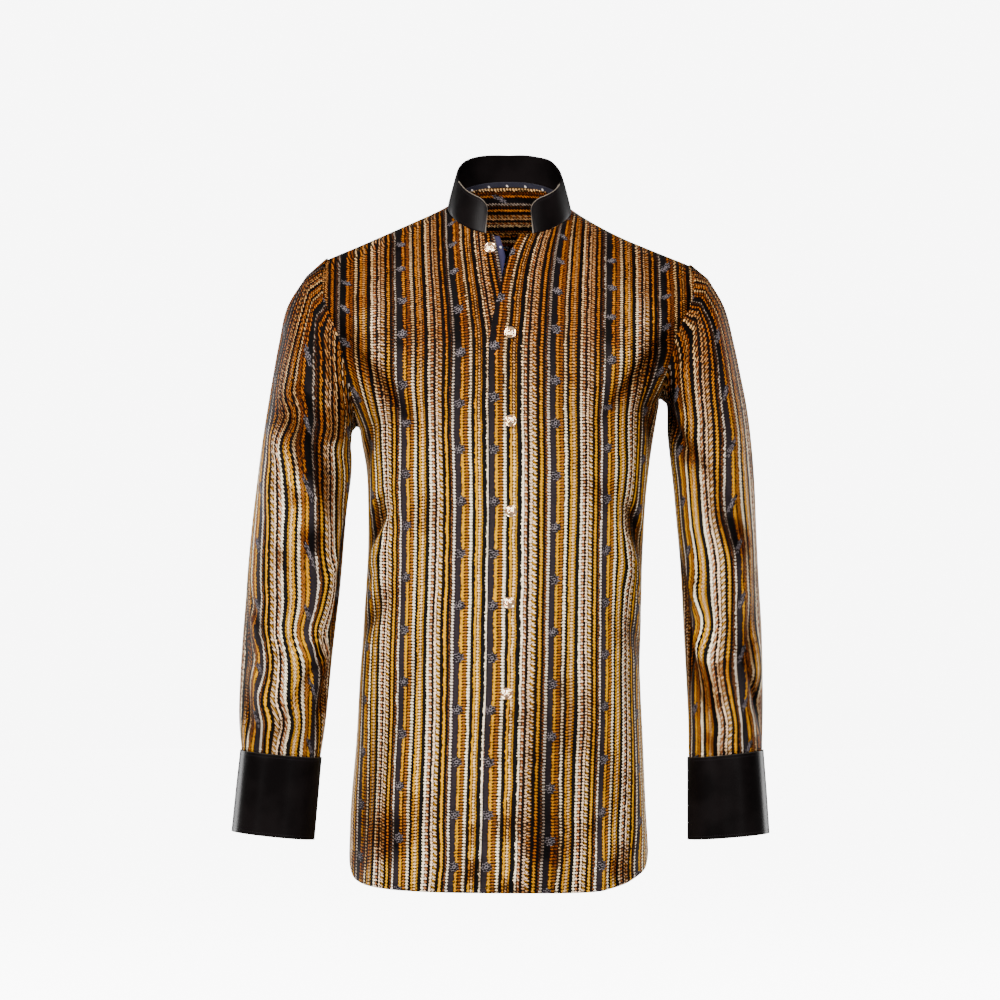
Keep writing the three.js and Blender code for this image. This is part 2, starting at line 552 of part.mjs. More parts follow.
// The cuff is a band whose lower end lies inside the upper one; its lower corners are round.
function cuff(side) {
  const { point, normal } = cuffSurface(side);
  const across = 30;
  const up = 4;
  const span = 360 + CUFF_LAP;
  const reach = 0.72;
  return wall(across, up, (i, j) => {
    const turn = CUFF_START + span * i / across;
    const nearEnd = Math.min(turn - CUFF_START, CUFF_START + span - turn) * reach;
    const dip = Math.max(0, CUFF_CORNER - nearEnd);
    const rise = CUFF_CORNER - Math.sqrt(CUFF_CORNER ** 2 - dip ** 2);
    const row = (j / up) * (1 - rise / 91);
    const n = normal(turn, row);
    const inward = (SATIN + SEAM + 0.4) * smooth((turn - CUFF_START - 340) / 18);
    return { p: point(turn, row).addScaledVector(n, -inward), n };
  }, SATIN);
}

// The collar: a band that stands on the neck seam, open at the front.
function collarSurface(angle, up) {
  const seam = torso(angle, NECK);
  const below = torso(angle, NECK - 0.05);
  const away = seam.clone().sub(below).normalize();
  const out = new THREE.Vector3(seam.x, seam.y - 8, 0).normalize();
  const base = seam.clone().addScaledVector(away, SEAM + 0.2);
  base.addScaledVector(torsoNormal(angle, NECK), 0.5);
  const lean = rad(COLLAR_LEAN);
  const rise = new THREE.Vector3(0, 0, Math.cos(lean)).addScaledVector(out, -Math.sin(lean));
  const bend = smooth(up / 6);
  const p = base.addScaledVector(rise, up);
  const n = out.clone().multiplyScalar(Math.cos(lean)).setZ(Math.sin(lean));
  n.lerp(torsoNormal(angle, NECK), 1 - bend).normalize();
  return { p, n };
}

function collar() {
  const across = 40;
  const steps = [0, 0.14, 0.42, 0.72, 1];
  const start = angleAt(COLLAR_END, NECK);
  return wall(across, steps.length - 1, (i, j) => {
    const k = i / across;
    const even = k < 0.5 ? 2 * k : 2 - 2 * k;
    const eased = 0.5 * even ** 1.25;
    const turn = (360 - 2 * start) * eased;
    const angle = k <= 0.5 ? start + turn : 360 - start - turn;
    const dip = Math.max(0, COLLAR_CORNER - turn);
    const fall = COLLAR_CORNER - Math.sqrt(COLLAR_CORNER ** 2 - dip ** 2);
    return collarSurface(angle, steps[j] * (COLLAR_HEIGHT - fall));
  }, SATIN);
}

// The navy strip behind the under front's edge, where the neck lies open.
function facingStrip() {
  const rows = [
    { t: 9.98, near: -24, far: -10.5 },
    { t: 9, near: -19, far: -3.8 },
    { t: 8, near: -12.6, far: -7.6 },
  ];
  return wall(3, rows.length - 1, (i, j) => {
    const { t, near, far } = rows[j];
    const angle = angleAt(mix(near, far, i / 3), t);
    const at = onTorso(angle, t);
    at.p.addScaledVector(at.n, -lapSink(at.p.x, frontHeight(t)) - CLOTH - SEAM - 0.25);
    return at;
  }, TAPE);
}

// The navy tape that covers the neck seam inside, round the back of the neck.
function neckTape() {
  const across = 24;
  return wall(across, 2, (i, j) => {
    const angle = mix(78, 282, i / across);
    const at = collarSurface(angle, 3 + 3 * j);
    const out = collarSurface(angle, 12).n;
    return { p: at.p.addScaledVector(out, -SATIN - SEAM - 0.2), n: out };
  }, TAPE);
}

// A metal button: a rim round a low dome.
function buttonGeometry() {
  const r = BUTTON_RADIUS;
  const h = BUTTON_HEIGHT;
  const profile = [
    [0, 0], [r * 0.86, 0], [r, h * 0.22], [r * 0.97, h * 0.5], [r * 0.8, h * 0.56],
    [r * 0.55, h * 0.84], [0, h],
  ].map(([x, y]) => new THREE.Vector2(x, y));
  const geometry = new THREE.LatheGeometry(profile, 14);
  geometry.rotateX(Math.PI / 2);
  return geometry;
}

const striped = () => new THREE.MeshStandardMaterial({ color: 0x8f6124, roughness: 0.62, metalness: 0 });
const satin = () => new THREE.MeshStandardMaterial({ color: 0x0d0d0f, roughness: 0.32, metalness: 0 });
const navy = () => new THREE.MeshStandardMaterial({ color: 0x1d2348, roughness: 0.6, metalness: 0 });
const gold = () => new THREE.MeshStandardMaterial({ color: 0xd9b978, roughness: 0.25, metalness: 1 });

const shirt = new THREE.Group();

function add(name, geometry, material) {
  const mesh = new THREE.Mesh(geometry, material);
  mesh.name = name;
  shirt.add(mesh);
  return mesh;
}

function addButton(name, point, normal, lift) {
  const mesh = add(name, buttonGeometry(), gold());
  mesh.position.copy(point).addScaledVector(normal, lift);
  mesh.quaternion.setFromUnitVectors(new THREE.Vector3(0, 0, 1), normal);
  return mesh;
}

add('front_left', frontPanel(1), striped());
add('front_right', frontPanel(-1), striped());
add('back', backPanel(), striped());
add('yoke', yoke(), striped());
add('sleeve_left', sleeve(1), striped());
add('sleeve_right', sleeve(-1), striped());
add('collar', collar(), satin());
add('cuff_left', cuff(1), satin());
add('cuff_right', cuff(-1), satin());
add('facing_strip', facingStrip(), navy());
add('neck_tape', neckTape(), navy());

for (const row of BUTTON_ROWS) {
  const t = ringAtHeight(row.z);
  const x = row.on === 'under' ? -21 : edgeOf.button(row.z);
  const at = onTorso(angleAt(x, t), t);
  const sunk = row.on === 'under' ? lapSink(x, row.z) : 0;
  addButton(row.name, at.p, at.n, SEAM + 0.05 - sunk);
}

for (const [side, name] of [[1, 'cuff_button_left'], [-1, 'cuff_button_right']]) {
  const { point, normal } = cuffSurface(side);
  const turn = CUFF_START + CUFF_LAP / 2;
  addButton(name, point(turn, 0.5), normal(turn, 0.5), SEAM + 0.05);
}

export default shirt;
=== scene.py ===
# %% [markdown]
# # A striped shirt with a black stand collar
# The shirt is filled out, as if worn, with nobody inside. Its solid walls are already packed as
# a fixed frame, in metres, with the front toward -Y. This lesson dresses that frame: a finer
# sheet of the same shape replaces every cloth wall, and then gets its finish.

# %% Load the frame
from types import SimpleNamespace

import bmesh
import bpy
import numpy as np
from mathutils import Matrix, Vector


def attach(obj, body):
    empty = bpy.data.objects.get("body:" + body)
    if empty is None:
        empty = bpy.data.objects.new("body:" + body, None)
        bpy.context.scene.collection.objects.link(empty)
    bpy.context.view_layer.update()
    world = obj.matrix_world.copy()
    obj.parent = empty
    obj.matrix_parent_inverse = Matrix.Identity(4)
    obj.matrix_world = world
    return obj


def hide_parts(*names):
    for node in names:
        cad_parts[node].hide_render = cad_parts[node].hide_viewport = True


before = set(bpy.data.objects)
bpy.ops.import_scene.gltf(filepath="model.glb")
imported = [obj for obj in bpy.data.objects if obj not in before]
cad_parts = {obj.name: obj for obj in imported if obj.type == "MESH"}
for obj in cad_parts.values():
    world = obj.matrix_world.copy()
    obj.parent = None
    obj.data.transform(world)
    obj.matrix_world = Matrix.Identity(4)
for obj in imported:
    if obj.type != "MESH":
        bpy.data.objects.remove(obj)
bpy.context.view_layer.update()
MM = 0.001
RIGHT = -1
LEFT = 1
SIDES = ((LEFT, "left"), (RIGHT, "right"))


def add_object(name, data):
    """A new object in the scene, at the origin."""
    made = bpy.data.objects.new(name, data)
    bpy.context.scene.collection.objects.link(made)
    return made


def mesh_object(name, bm):
    """A new object that takes its mesh from a bmesh."""
    mesh = bpy.data.meshes.new(name)
    bm.to_mesh(mesh)
    bm.free()
    return add_object(name, mesh)


print("nodes in the frame:", len(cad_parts))

# %% [markdown]
# ## The camera
# A garment is pictured straight on, from far away. A level camera six metres off, with a long
# lens, keeps its sides parallel and still shows a trace of depth, which a parallel view would
# lose. It sees 1.12 m.

# %% Camera
VIEW_WIDTH = 1.12
DISTANCE = 6.0
camera_data = bpy.data.cameras.new("camera")
camera_data.sensor_width = 36
camera_data.lens = 36 * DISTANCE / VIEW_WIDTH
camera = add_object("camera", camera_data)
camera.location = (-0.0101, -DISTANCE, -0.3248)
camera.rotation_euler = (np.pi / 2, 0, 0)
bpy.context.scene.camera = camera
print("lens", round(camera_data.lens, 1), "mm")

# %% [markdown]
# ## The named sizes
# The body is a stack of sections, in millimetres. Below the armpits each row gives a height and
# how far the section reaches to each side. Above them, rings tilt over the shoulders up to the
# neck. A cloth simulation could fill the shirt out too, but it would drift away from the solid
# walls, which the same short tables drive.

# %% Wall sizes
CLOTH = 1.5
SATIN = 2.4
TAPE = 0.9
SEAM = 0.3
CREASE_DEPTH = 1.7
MM_PER_DEGREE = 2.5
ROUND = 2.4
SLEEVE_ROUND = 2.2
TIP = 6
NECK = 10
YOKE_STEP = 6
ARM_STEPS = 10
ARM_CUT = 35
SLEEVE_END = 12
COLLAR_HEIGHT = 39
COLLAR_LEAN = 15
COLLAR_CORNER = 13
COLLAR_END = 26.5
CUFF_PROUD = 0.8
CUFF_CORNER = 14
CUFF_START = 206
CUFF_LAP = 26
LAP_STEP = 2.3
print("cloth", CLOTH, "mm thick, collar", COLLAR_HEIGHT, "mm high")

# %% Body sections
BODY_NAMES = "z left right front_y back_y"
BODY_ROWS = [
    (-770, -180, 157, -118, 114), (-719, -179, 156, -117, 113), (-665, -177, 153, -114, 111),
    (-594, -171, 150, -110, 107), (-522, -167, 147, -107, 101), (-450, -162, 148, -106, 97),
    (-379, -158, 150, -108, 98), (-325, -158, 153, -112, 103), (-289, -160, 157, -116, 108),
    (-253, -166, 162, -119, 112), (-212, -170, 169, -119, 113),
]
RING_NAMES = "ring left right left_z right_z side_y front_y front_z back_y back_z"
RING_ROWS = [
    (0, -169, 168, -243, -212, 2, -119, -234, 113, -230),
    (1, -188, 186, -203, -180, 4, -119, -210, 114, -198),
    (2, -207, 204, -158, -146, 5, -117, -188, 113, -166),
    (3, -222, 218, -117, -114, 6, -114, -168, 111, -136),
    (4, -229, 226, -84, -88, 7, -110, -150, 107, -107),
    (5, -222, 220, -64, -71, 8, -106, -136, 102, -84),
    (6, -203, 202, -55, -62, 8, -102, -125, 96, -63),
    (7, -165, 165, -39, -47, 8, -92, -100, 86, -36),
    (8, -124, 124, -21, -30, 8, -82, -76, 77, -13), (9, -92, 92, -7, -14, 8, -71, -53, 67, 6),
    (10, -69, 70, 2, -2, 8, -61, -31, 58, 23),
]
HEM_ROWS = [
    (-180, -760), (-140, -757), (-112, -742), (-90, -716), (-80, -731), (-69, -746), (-52, -753),
    (-30, -756), (0, -757), (30, -757), (39, -755), (51, -749), (57, -744), (70, -733),
    (90, -716), (112, -742), (140, -757), (180, -760),
]
EDGE_NAMES = "z over under button"
EDGE_ROWS = [
    (-770, -33, 8, -8), (-654, -29, 10, -5), (-538, -26, 12, -3), (-337, -23, 16, 2),
    (-170, -23, 15, 1), (-135, -20, 11, 1), (-107, -14.5, 1, 0), (-88, -9.5, -6, -6),
    (-74, -6.2, -8.5, -13), (-60, -2.4, -10.4, -18), (-44, 4, -13.7, -21), (-28, 12, -18, -25),
]
print("body rows", len(BODY_ROWS), "rings", len(RING_ROWS))

# %% Folds of the body cloth: angle or turn, height, across, along, deep, lean
BODY_FOLDS = [
    (-64, -352, 13, 38, -6.5, 52), (-60, -388, 13, 34, 4.5, 50), (-48, -318, 15, 44, 3, 40),
    (-66, -455, 15, 40, -3.5, 60), (66, -362, 14, 38, -5, -50), (58, -404, 14, 42, 3.5, -46),
    (70, -482, 15, 42, -3, -58), (-70, -268, 12, 34, -4, 48), (70, -244, 12, 36, -4, -46),
    (-47, -176, 12, 52, -3.6, -22), (-37, -150, 14, 60, 2.4, -14), (48, -168, 12, 50, -3.6, 22),
    (36, -146, 14, 58, 2.4, 15), (37, -738, 8, 30, 3.6, 4), (-28, -690, 22, 120, 3, 3),
    (14, -676, 24, 130, -3, -2), (-60, -676, 20, 90, -3.4, 6), (62, -660, 20, 96, 3.2, -5),
    (118, -372, 14, 42, -5, 52), (140, -410, 16, 52, 4, 44), (160, -360, 15, 46, -3.6, 40),
    (-116, -384, 14, 40, -5, -54), (-142, -424, 16, 50, 3.8, -42), (-164, -366, 15, 44, -3, -38),
    (128, -200, 13, 52, -3.6, -24), (-128, -214, 13, 52, -3.6, 22), (120, -660, 20, 90, -3.2, 5),
    (152, -680, 22, 110, 3.4, 2), (-124, -664, 20, 94, -3, -4), (-158, -690, 22, 112, 3.2, -3),
]
BODY_CREASES = [
    (-66, -334, 6, 30, -1.8, 58), (-62, -372, 6, 34, 1.8, 50), (-70, -410, 6, 26, -1.6, 64),
    (-52, -352, 7, 40, 1.2, 44), (64, -346, 6, 30, -1.6, -56), (60, -384, 6, 34, 1.4, -48),
    (72, -430, 6, 28, -1.4, -62), (-44, -200, 6, 44, -1.2, -18), (42, -190, 6, 44, -1.2, 18),
    (38, -742, 4, 24, 1.6, 3), (-20, -590, 9, 80, 0.9, 5), (24, -560, 9, 84, -0.9, -4),
    (-38, -520, 9, 60, -0.9, 14), (44, -500, 9, 56, 0.8, -12), (124, -340, 7, 40, -1.5, 48),
    (150, -440, 8, 48, 1.3, 36), (-122, -352, 7, 40, -1.4, -50), (-150, -452, 8, 48, 1.2, -34),
    (170, -600, 9, 80, 0.9, 4), (-172, -560, 9, 84, -0.9, -3),
]
print("body folds", len(BODY_FOLDS), "creases", len(BODY_CREASES))

# %% Sleeve and cuff rings: outer and inner points, half depth, middle y
SLEEVE_NAMES = "row outer_x outer_z inner_x inner_z half middle_y"
SLEEVE_ROWS = {RIGHT: [
    (0, -226, -75, -176.5, -247, 67, 4), (1, -247, -109, -177.5, -251, 69, 4),
    (2, -256, -148, -178, -257, 69, 3), (3, -263, -186, -178.5, -266, 68, 3),
    (4, -269, -222, -177.5, -279, 67, 2), (5, -275, -262, -178, -297, 65, 1),
    (6, -281, -308, -180.5, -324, 63, 0), (7, -287, -360, -184.5, -369, 61, -2),
    (8, -292, -415, -190, -423, 58, -5), (9, -296, -470, -196, -478, 55, -9),
    (10, -299, -524, -202, -532, 52, -13), (11, -300, -567, -206.5, -575, 48, -17),
    (12, -297, -604, -212, -612, 39, -20),
], LEFT: [
    (0, 222, -78, 177.5, -216, 66, 4), (1, 240, -110, 178.5, -221, 68, 4),
    (2, 250, -148, 178.8, -228, 68, 3), (3, 258, -186, 178.8, -238, 67, 3),
    (4, 265, -222, 179.2, -253, 66, 2), (5, 270, -262, 182, -280, 64, 1),
    (6, 273.5, -308, 186, -316, 62, 0), (7, 275.5, -360, 190, -367, 60, -2),
    (8, 278, -415, 194, -421, 57, -5), (9, 281, -470, 197, -476, 54, -9),
    (10, 282, -524, 199.5, -530, 51, -13), (11, 282, -567, 201.5, -573, 47, -17),
    (12, 281, -604, 202, -612, 38, -20),
]}
CUFF_ROWS = {RIGHT: [
    (0, -297, -603.6, -212, -611.6, 39, -20), (1, -306, -694, -220, -703, 40, -24),
], LEFT: [
    (0, 281, -603.6, 202, -611.6, 38, -20), (1, 287, -696, 202, -703, 39, -24),
]}
SLEEVE_FOLDS = {RIGHT: [
    (172, -386, 13, 46, -6, 12), (150, -420, 14, 42, 4, 20), (168, -452, 12, 42, -6, -10),
    (30, -478, 14, 40, -4.5, -24), (110, -500, 14, 40, 3.5, 30), (40, -556, 12, 42, -4.5, -14),
    (150, -548, 12, 36, -3.5, 18), (76, -250, 15, 46, -4, -50), (110, -296, 15, 46, -4, -44),
    (60, -330, 16, 46, 3.2, -36), (250, -400, 15, 46, -5, 20), (230, -450, 14, 44, -4.5, -14),
    (300, -500, 15, 44, 3.6, 24), (270, -290, 15, 50, -3.6, 46),
], LEFT: [
    (152, -238, 12, 32, -4, 30), (120, -276, 14, 44, -3.6, 42), (160, -440, 14, 50, -7, 16),
    (140, -470, 13, 44, 4.4, 22), (160, -504, 13, 40, -4.6, -12), (130, -532, 12, 38, -3.6, 18),
    (34, -552, 13, 40, -4.6, 22), (50, -470, 15, 44, -3.6, -20), (70, -360, 16, 50, -3.6, 34),
    (88, -410, 15, 42, 3.4, 30), (250, -420, 15, 46, -5, -20), (226, -468, 14, 44, -4.4, 14),
    (300, -512, 15, 44, 3.6, -22), (272, -296, 15, 50, -3.6, -44),
]}
SLEEVE_CREASES = {RIGHT: [
    (160, -372, 6, 30, -1.8, 20), (140, -404, 6, 34, 1.6, 28), (160, -436, 6, 30, -1.8, -12),
    (44, -452, 6, 34, -1.6, -30), (80, -476, 6, 40, 1.6, 36), (120, -520, 6, 34, -1.6, 28),
    (60, -540, 6, 34, 1.4, -20), (96, -574, 6, 24, -1.2, 8), (90, -226, 6, 36, -1.4, -46),
    (70, -290, 7, 40, 1.2, -40), (124, -330, 6, 34, -1.2, -30), (240, -430, 7, 36, -1.4, 18),
    (290, -470, 7, 36, 1.2, 22), (260, -320, 7, 40, -1.2, 40),
], LEFT: [
    (150, -426, 6, 34, -1.8, 20), (128, -452, 6, 36, 1.6, 28), (150, -490, 6, 30, -1.8, -14),
    (110, -512, 6, 36, 1.4, 24), (44, -536, 6, 32, -1.6, 26), (70, -440, 6, 40, -1.2, -24),
    (96, -380, 7, 40, 1.2, 34), (140, -256, 6, 28, -1.6, 34), (108, -300, 6, 36, 1.2, 40),
    (60, -574, 6, 24, -1.2, -6), (240, -446, 7, 36, -1.4, -18), (290, -486, 7, 36, 1.2, -20),
    (262, -330, 7, 40, -1.2, -38), (30, -500, 7, 36, 1.2, 18),
]}
print("sleeve folds", sum(map(len, SLEEVE_FOLDS.values())))

# %% Where pulled cloth shifts its stripes: angle or turn, height, across, along, shift in mm
BODY_SWAY = [
    (-58, -352, 16, 26, -4.5), (-62, -404, 16, 28, 4.5), (60, -346, 15, 26, 4.5),
    (58, -398, 16, 28, -4.5), (-50, -296, 16, 32, 3), (52, -286, 16, 30, -3),
    (-20, -236, 22, 50, 1.6), (25, -300, 22, 60, -1.6), (-30, -480, 22, 60, 1.8),
    (35, -560, 22, 70, -2.2), (-40, -640, 22, 60, 2.2), (20, -700, 20, 40, -2.4),
    (-8, -620, 16, 70, 1.4), (-24, -720, 14, 30, -2), (48, -690, 16, 34, 2.4),
    (125, -370, 16, 30, 4), (-125, -380, 16, 30, -4), (160, -500, 22, 60, 2.2),
    (-160, -520, 22, 60, -2.2), (150, -300, 20, 50, -2), (-148, -650, 22, 60, 2.4),
]
SLEEVE_SWAY = {RIGHT: [
    (52, -176, 24, 16, -3.5), (58, -204, 24, 15, -5.5), (60, -232, 24, 16, 6.5),
    (64, -264, 24, 18, -4.5), (120, -250, 26, 24, 4), (80, -330, 26, 28, 3),
    (140, -414, 22, 22, 6), (132, -474, 30, 22, -11), (140, -520, 26, 24, 5),
    (30, -440, 20, 16, 4), (38, -472, 20, 15, -6), (46, -504, 22, 16, 6.5),
    (60, -548, 24, 18, -4.5), (90, -470, 24, 20, -3.5), (100, -574, 22, 16, 3.5),
    (-60, -220, 26, 24, 4.5), (-90, -300, 28, 28, -4), (-120, -440, 26, 24, 7),
    (-70, -480, 26, 22, -6), (-50, -530, 24, 20, 5), (-130, -530, 24, 20, -4),
], LEFT: [
    (150, -232, 24, 18, -6), (140, -262, 24, 18, 4), (60, -250, 26, 26, -3),
    (80, -330, 26, 28, 3.5), (60, -384, 24, 22, -3), (142, -428, 26, 20, 6),
    (136, -462, 28, 20, -9.5), (126, -502, 26, 22, 5.5), (40, -520, 20, 16, -4.5),
    (42, -550, 20, 14, 6), (88, -520, 20, 28, 3.5), (96, -574, 22, 16, -3),
    (36, -466, 22, 22, 3.5), (-60, -240, 26, 24, -4.5), (-96, -310, 28, 28, 4),
    (-118, -450, 26, 24, -7), (-72, -490, 26, 22, 6), (-48, -540, 24, 20, -5),
]}
print("sways", len(BODY_SWAY) + sum(map(len, SLEEVE_SWAY.values())))


# %% Smooth curves through the columns of a table
def curve(x, y):
    """A smooth curve through points, held level past its ends."""
    x = np.array(x, float)
    y = np.array(y, float)
    last = len(x) - 1
    low = np.maximum(np.arange(len(x)) - 1, 0)
    high = np.minimum(np.arange(len(x)) + 1, last)
    slope = (y[high] - y[low]) / (x[high] - x[low])

    def at(v):
        v = np.clip(v, x[0], x[-1])
        i = np.clip(np.searchsorted(x, v) - 1, 0, last - 1)
        h = x[i + 1] - x[i]
        k = (v - x[i]) / h
        k2 = k * k
        k3 = k2 * k
        start = (2 * k3 - 3 * k2 + 1) * y[i] + (k3 - 2 * k2 + k) * h * slope[i]
        return start + (3 * k2 - 2 * k3) * y[i + 1] + (k3 - k2) * h * slope[i + 1]

    return at


def curves(names, rows):
    """The named columns of a table, as curves over its first column."""
    names = names.split()
    table = list(zip(*rows))
    made = {name: curve(table[0], table[i + 1]) for i, name in enumerate(names[1:])}
    return SimpleNamespace(**made)


body = curves(BODY_NAMES, BODY_ROWS)
ring = curves(RING_NAMES, RING_ROWS)
hem = curve(*zip(*HEM_ROWS))
edge = curves(EDGE_NAMES, EDGE_ROWS)
print("chest reaches", float(ring.left(0)), "to", float(ring.right(0)), "mm")


# %% Rounded sections and folds
def smooth(x):
    k = np.clip(x, 0, 1)
    return k * k * (3 - 2 * k)


def section(angle, square):
    """How far to the side and to the front a point of a rounded unit section lies."""
    s = np.sin(np.radians(angle))
    c = np.cos(np.radians(angle))
    w = (np.abs(s) ** square + np.abs(c) ** square) ** (-1 / square)
    return s * w, c * w


def folds(table, scale, at, z):
    """The sum of the troughs and ridges at a place. A row without a lean stands upright."""
    total = 0 * at
    for turn, height, wide, long, deep, *lean in table:
        away = at - turn
        away = (away - 360 * np.round(away / 360)) * scale
        up = z - height
        c = np.cos(np.radians(sum(lean)))
        s = np.sin(np.radians(sum(lean)))
        a = (away * c - up * s) / wide
        b = (away * s + up * c) / long
        total = total + deep * np.exp(-(a * a + b * b))
    return total


print("corner of a rounded section", section(45, ROUND))


# %% Points of the body
def ring_height(angle, t, front):
    side = np.where(angle < 0, ring.left_z(t), ring.right_z(t))
    end = np.where(front >= 0, ring.front_z(t), ring.back_z(t))
    return side + (end - side) * np.abs(front) ** 1.5


def torso_bare(angle, t):
    """A point of the body without folds; t is -1 at the hem, 0 at the armpit, 10 at the neck."""
    turn = angle - 360 * np.round(angle / 360)
    side, front = section(turn, ROUND)
    low = t < 0
    top = ring_height(turn, 0 * t, front)
    z = np.where(low, top - (hem(turn) - top) * t, ring_height(turn, t, front))
    right = np.where(low, body.right(z), ring.right(t))
    left = np.where(low, -body.left(z), -ring.left(t))
    middle = np.where(low, 2, ring.side_y(t))
    front_deep = middle - np.where(low, body.front_y(z), ring.front_y(t))
    back_deep = np.where(low, body.back_y(z), ring.back_y(t)) - middle
    wide = np.where(turn < 0, left, right)
    deep = np.where(front >= 0, front_deep, back_deep)
    return np.stack([wide * side, middle - deep * front, z], -1)


def unit(v):
    return v / np.linalg.norm(v, axis=-1, keepdims=True)


def facing(point, u, v, du, dv, low, high):
    """The outward direction of a surface, from points close by."""
    a = point(u + du, v) - point(u - du, v)
    b = point(u, np.minimum(high, v + dv)) - point(u, np.maximum(low, v - dv))
    return unit(np.cross(a, b))


def torso_lift(angle, t):
    """How far folds and creases lift a point of the body."""
    z = torso_bare(angle, t)[..., 2]
    creases = folds(BODY_CREASES, MM_PER_DEGREE, angle, z) * CREASE_DEPTH
    broad = folds(BODY_FOLDS, MM_PER_DEGREE, angle, z)
    return (broad + creases) * smooth((NECK - t) / 3)


def torso(angle, t):
    out = facing(torso_bare, angle, t, 0.4, 0.02, -1, NECK)
    return torso_bare(angle, t) + out * torso_lift(angle, t)[..., None]


def fold_shade(lift):
    """How deep in a fold each point lies, stored so that the finish paints shade into the fold
    troughs.
    """
    return {"fold_shade": -lift / 4}


def torso_normal(angle, t):
    return facing(torso, angle, t, 0.6, 0.03, -1, NECK)


print("the chest at +X, the wearer's left", torso(90.0, 0.0))


# %% Places on the front
def front_height(t):
    """Height of a ring at the centre front."""
    low = ring.front_z(0) - (hem(0) - ring.front_z(0)) * t
    return np.where(t < 0, low, ring.front_z(t))


def angle_at(x, t):
    """The angle at which a ring crosses a distance x from the middle of the front."""
    z = front_height(t)
    left = np.where(t < 0, -body.left(z), -ring.left(t))
    right = np.where(t < 0, body.right(z), ring.right(t))
    side = np.clip(np.abs(x) / np.where(x < 0, left, right), 0, 0.999)
    front = (1 - side ** ROUND) ** (1 / ROUND)
    return np.sign(x) * np.degrees(np.arctan2(side, front))


def ring_at_height(z):
    """The ring that passes the centre front at a height."""
    t = np.linspace(-1, NECK, 4001)
    return float(np.interp(z, front_height(t), t))


print("front of the neck at z", float(front_height(NECK)))


# %% [markdown]
# ## Cloth from a grid
# Each panel starts as a flat grid, and its points are then placed on the body. Its own UV map
# keeps the cloth coordinates in metres, across and along the threads, so that a stripe follows
# the cloth round every fold, as a projected pattern would not. Solidify makes the wall.

# %% A helper for cloth pieces
def spread(start, stop, count, ends=()):
    """Even steps, with a few finer ones close to the ends that need a rounded edge."""
    steps = list(np.linspace(start, stop, count + 1))
    for share in ends:
        steps.append(start + (stop - start) * share)
    return np.array(sorted(set(steps)))


def along(points, axis):
    """Length along the rows or columns of a grid of points."""
    step = np.linalg.norm(np.diff(points, axis=axis), axis=-1)
    total = np.cumsum(step, axis=axis)
    pad = [(0, 0), (0, 0)]
    pad[axis] = (1, 0)
    return np.pad(total, pad)


def plain_cloth(points):
    """Cloth coordinates that are lengths along the grid."""
    return np.stack([along(points, 1), along(points, 0)], -1)


def ends_inset(run):
    """How far each point lies from the nearer end of its row."""
    return np.minimum(run, run[:, -1:] - run)


def cloth_piece(name, points, cloth, wall, node, flip=False, ring_shape=False, marks=None):
    """A sheet on placed points, with cloth coordinates and a wall toward the inside."""
    up, across = points.shape[0] - 1, points.shape[1] - 1
    bm = bmesh.new()
    bmesh.ops.create_grid(bm, x_segments=across, y_segments=up, size=1.0)
    if flip:
        bmesh.ops.reverse_faces(bm, faces=bm.faces)
    piece = mesh_object(name, bm)
    mesh = piece.data
    flat = np.empty(len(mesh.vertices) * 3)
    mesh.vertices.foreach_get("co", flat)
    i = np.rint((flat[0::3] + 1) / 2 * across).astype(int)
    j = np.rint((flat[1::3] + 1) / 2 * up).astype(int)
    mesh.vertices.foreach_set("co", (points[j, i] * MM).ravel())
    corner = np.empty(len(mesh.loops), int)
    mesh.loops.foreach_get("vertex_index", corner)
    layer = mesh.uv_layers.new(name="cloth")
    layer.data.foreach_set("uv", (cloth[j, i] * MM)[corner].ravel())
    for mark, values in (marks or {}).items():
        stored = mesh.attributes.new(mark, "FLOAT", "POINT")
        stored.data.foreach_set("value", values[j, i].astype(float))
    if ring_shape:
        bm = bmesh.new()
        bm.from_mesh(mesh)
        bmesh.ops.remove_doubles(bm, verts=bm.verts, dist=1e-5)
        bm.to_mesh(mesh)
        bm.free()
    mesh.shade_smooth()
    thick = piece.modifiers.new("wall", "SOLIDIFY")
    thick.thickness = wall * MM
    thick.offset = -1
    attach(piece, "root")
    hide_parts(node)
    print(name, "faces", len(mesh.polygons))
    return piece


def both_sides(make, node, finish, wall, flipped, closed=False):
    """The left and the right piece of a pair, each from its own grid of points."""
    made = []
    for side, word in SIDES:
        points, cloth, marks = make(side)
        name = "%s_%s" % (node, word)
        flip = side == flipped
        made.append(cloth_piece(name + finish, points, cloth, wall, name, flip, closed, marks))
    return made


# %% Rows of a body panel
def arm_ring(step):
    return TIP / 2 * (1 - np.cos(np.pi * step / ARM_STEPS))


def arm_cut(step):
    return ARM_CUT * np.sin(np.pi * np.clip(step, 0, ARM_STEPS) / ARM_STEPS)


def panel_rows(low, high):
    """Ring numbers of a panel's rows and how far the armhole cuts into each."""
    below = spread(-1, 0, 110, (0.002, 0.004, 0.012, 0.014, 0.016))[:-1] if low < 0 else []
    steps = np.arange(max(0, low), min(high, ARM_STEPS) + 0.01, 0.25)
    above = np.linspace(TIP, NECK, 21)[1:] if high > ARM_STEPS else []
    ring_numbers = np.concatenate([below, arm_ring(steps), above])
    cuts = np.pad(arm_cut(steps), (len(below), len(above)))
    return ring_numbers[:, None], cuts[:, None]


print("rows of a front:", len(panel_rows(-1, 11)[0]))

# %% [markdown]
# ## The stripe repeat
# The cloth is cut with its stripes upright, and they repeat every 64 mm. On the fronts they are
# measured round the body from the lapping edge. Above the chest they run straight up to the
# shoulders, and close to the open neck they follow the leaning edge.

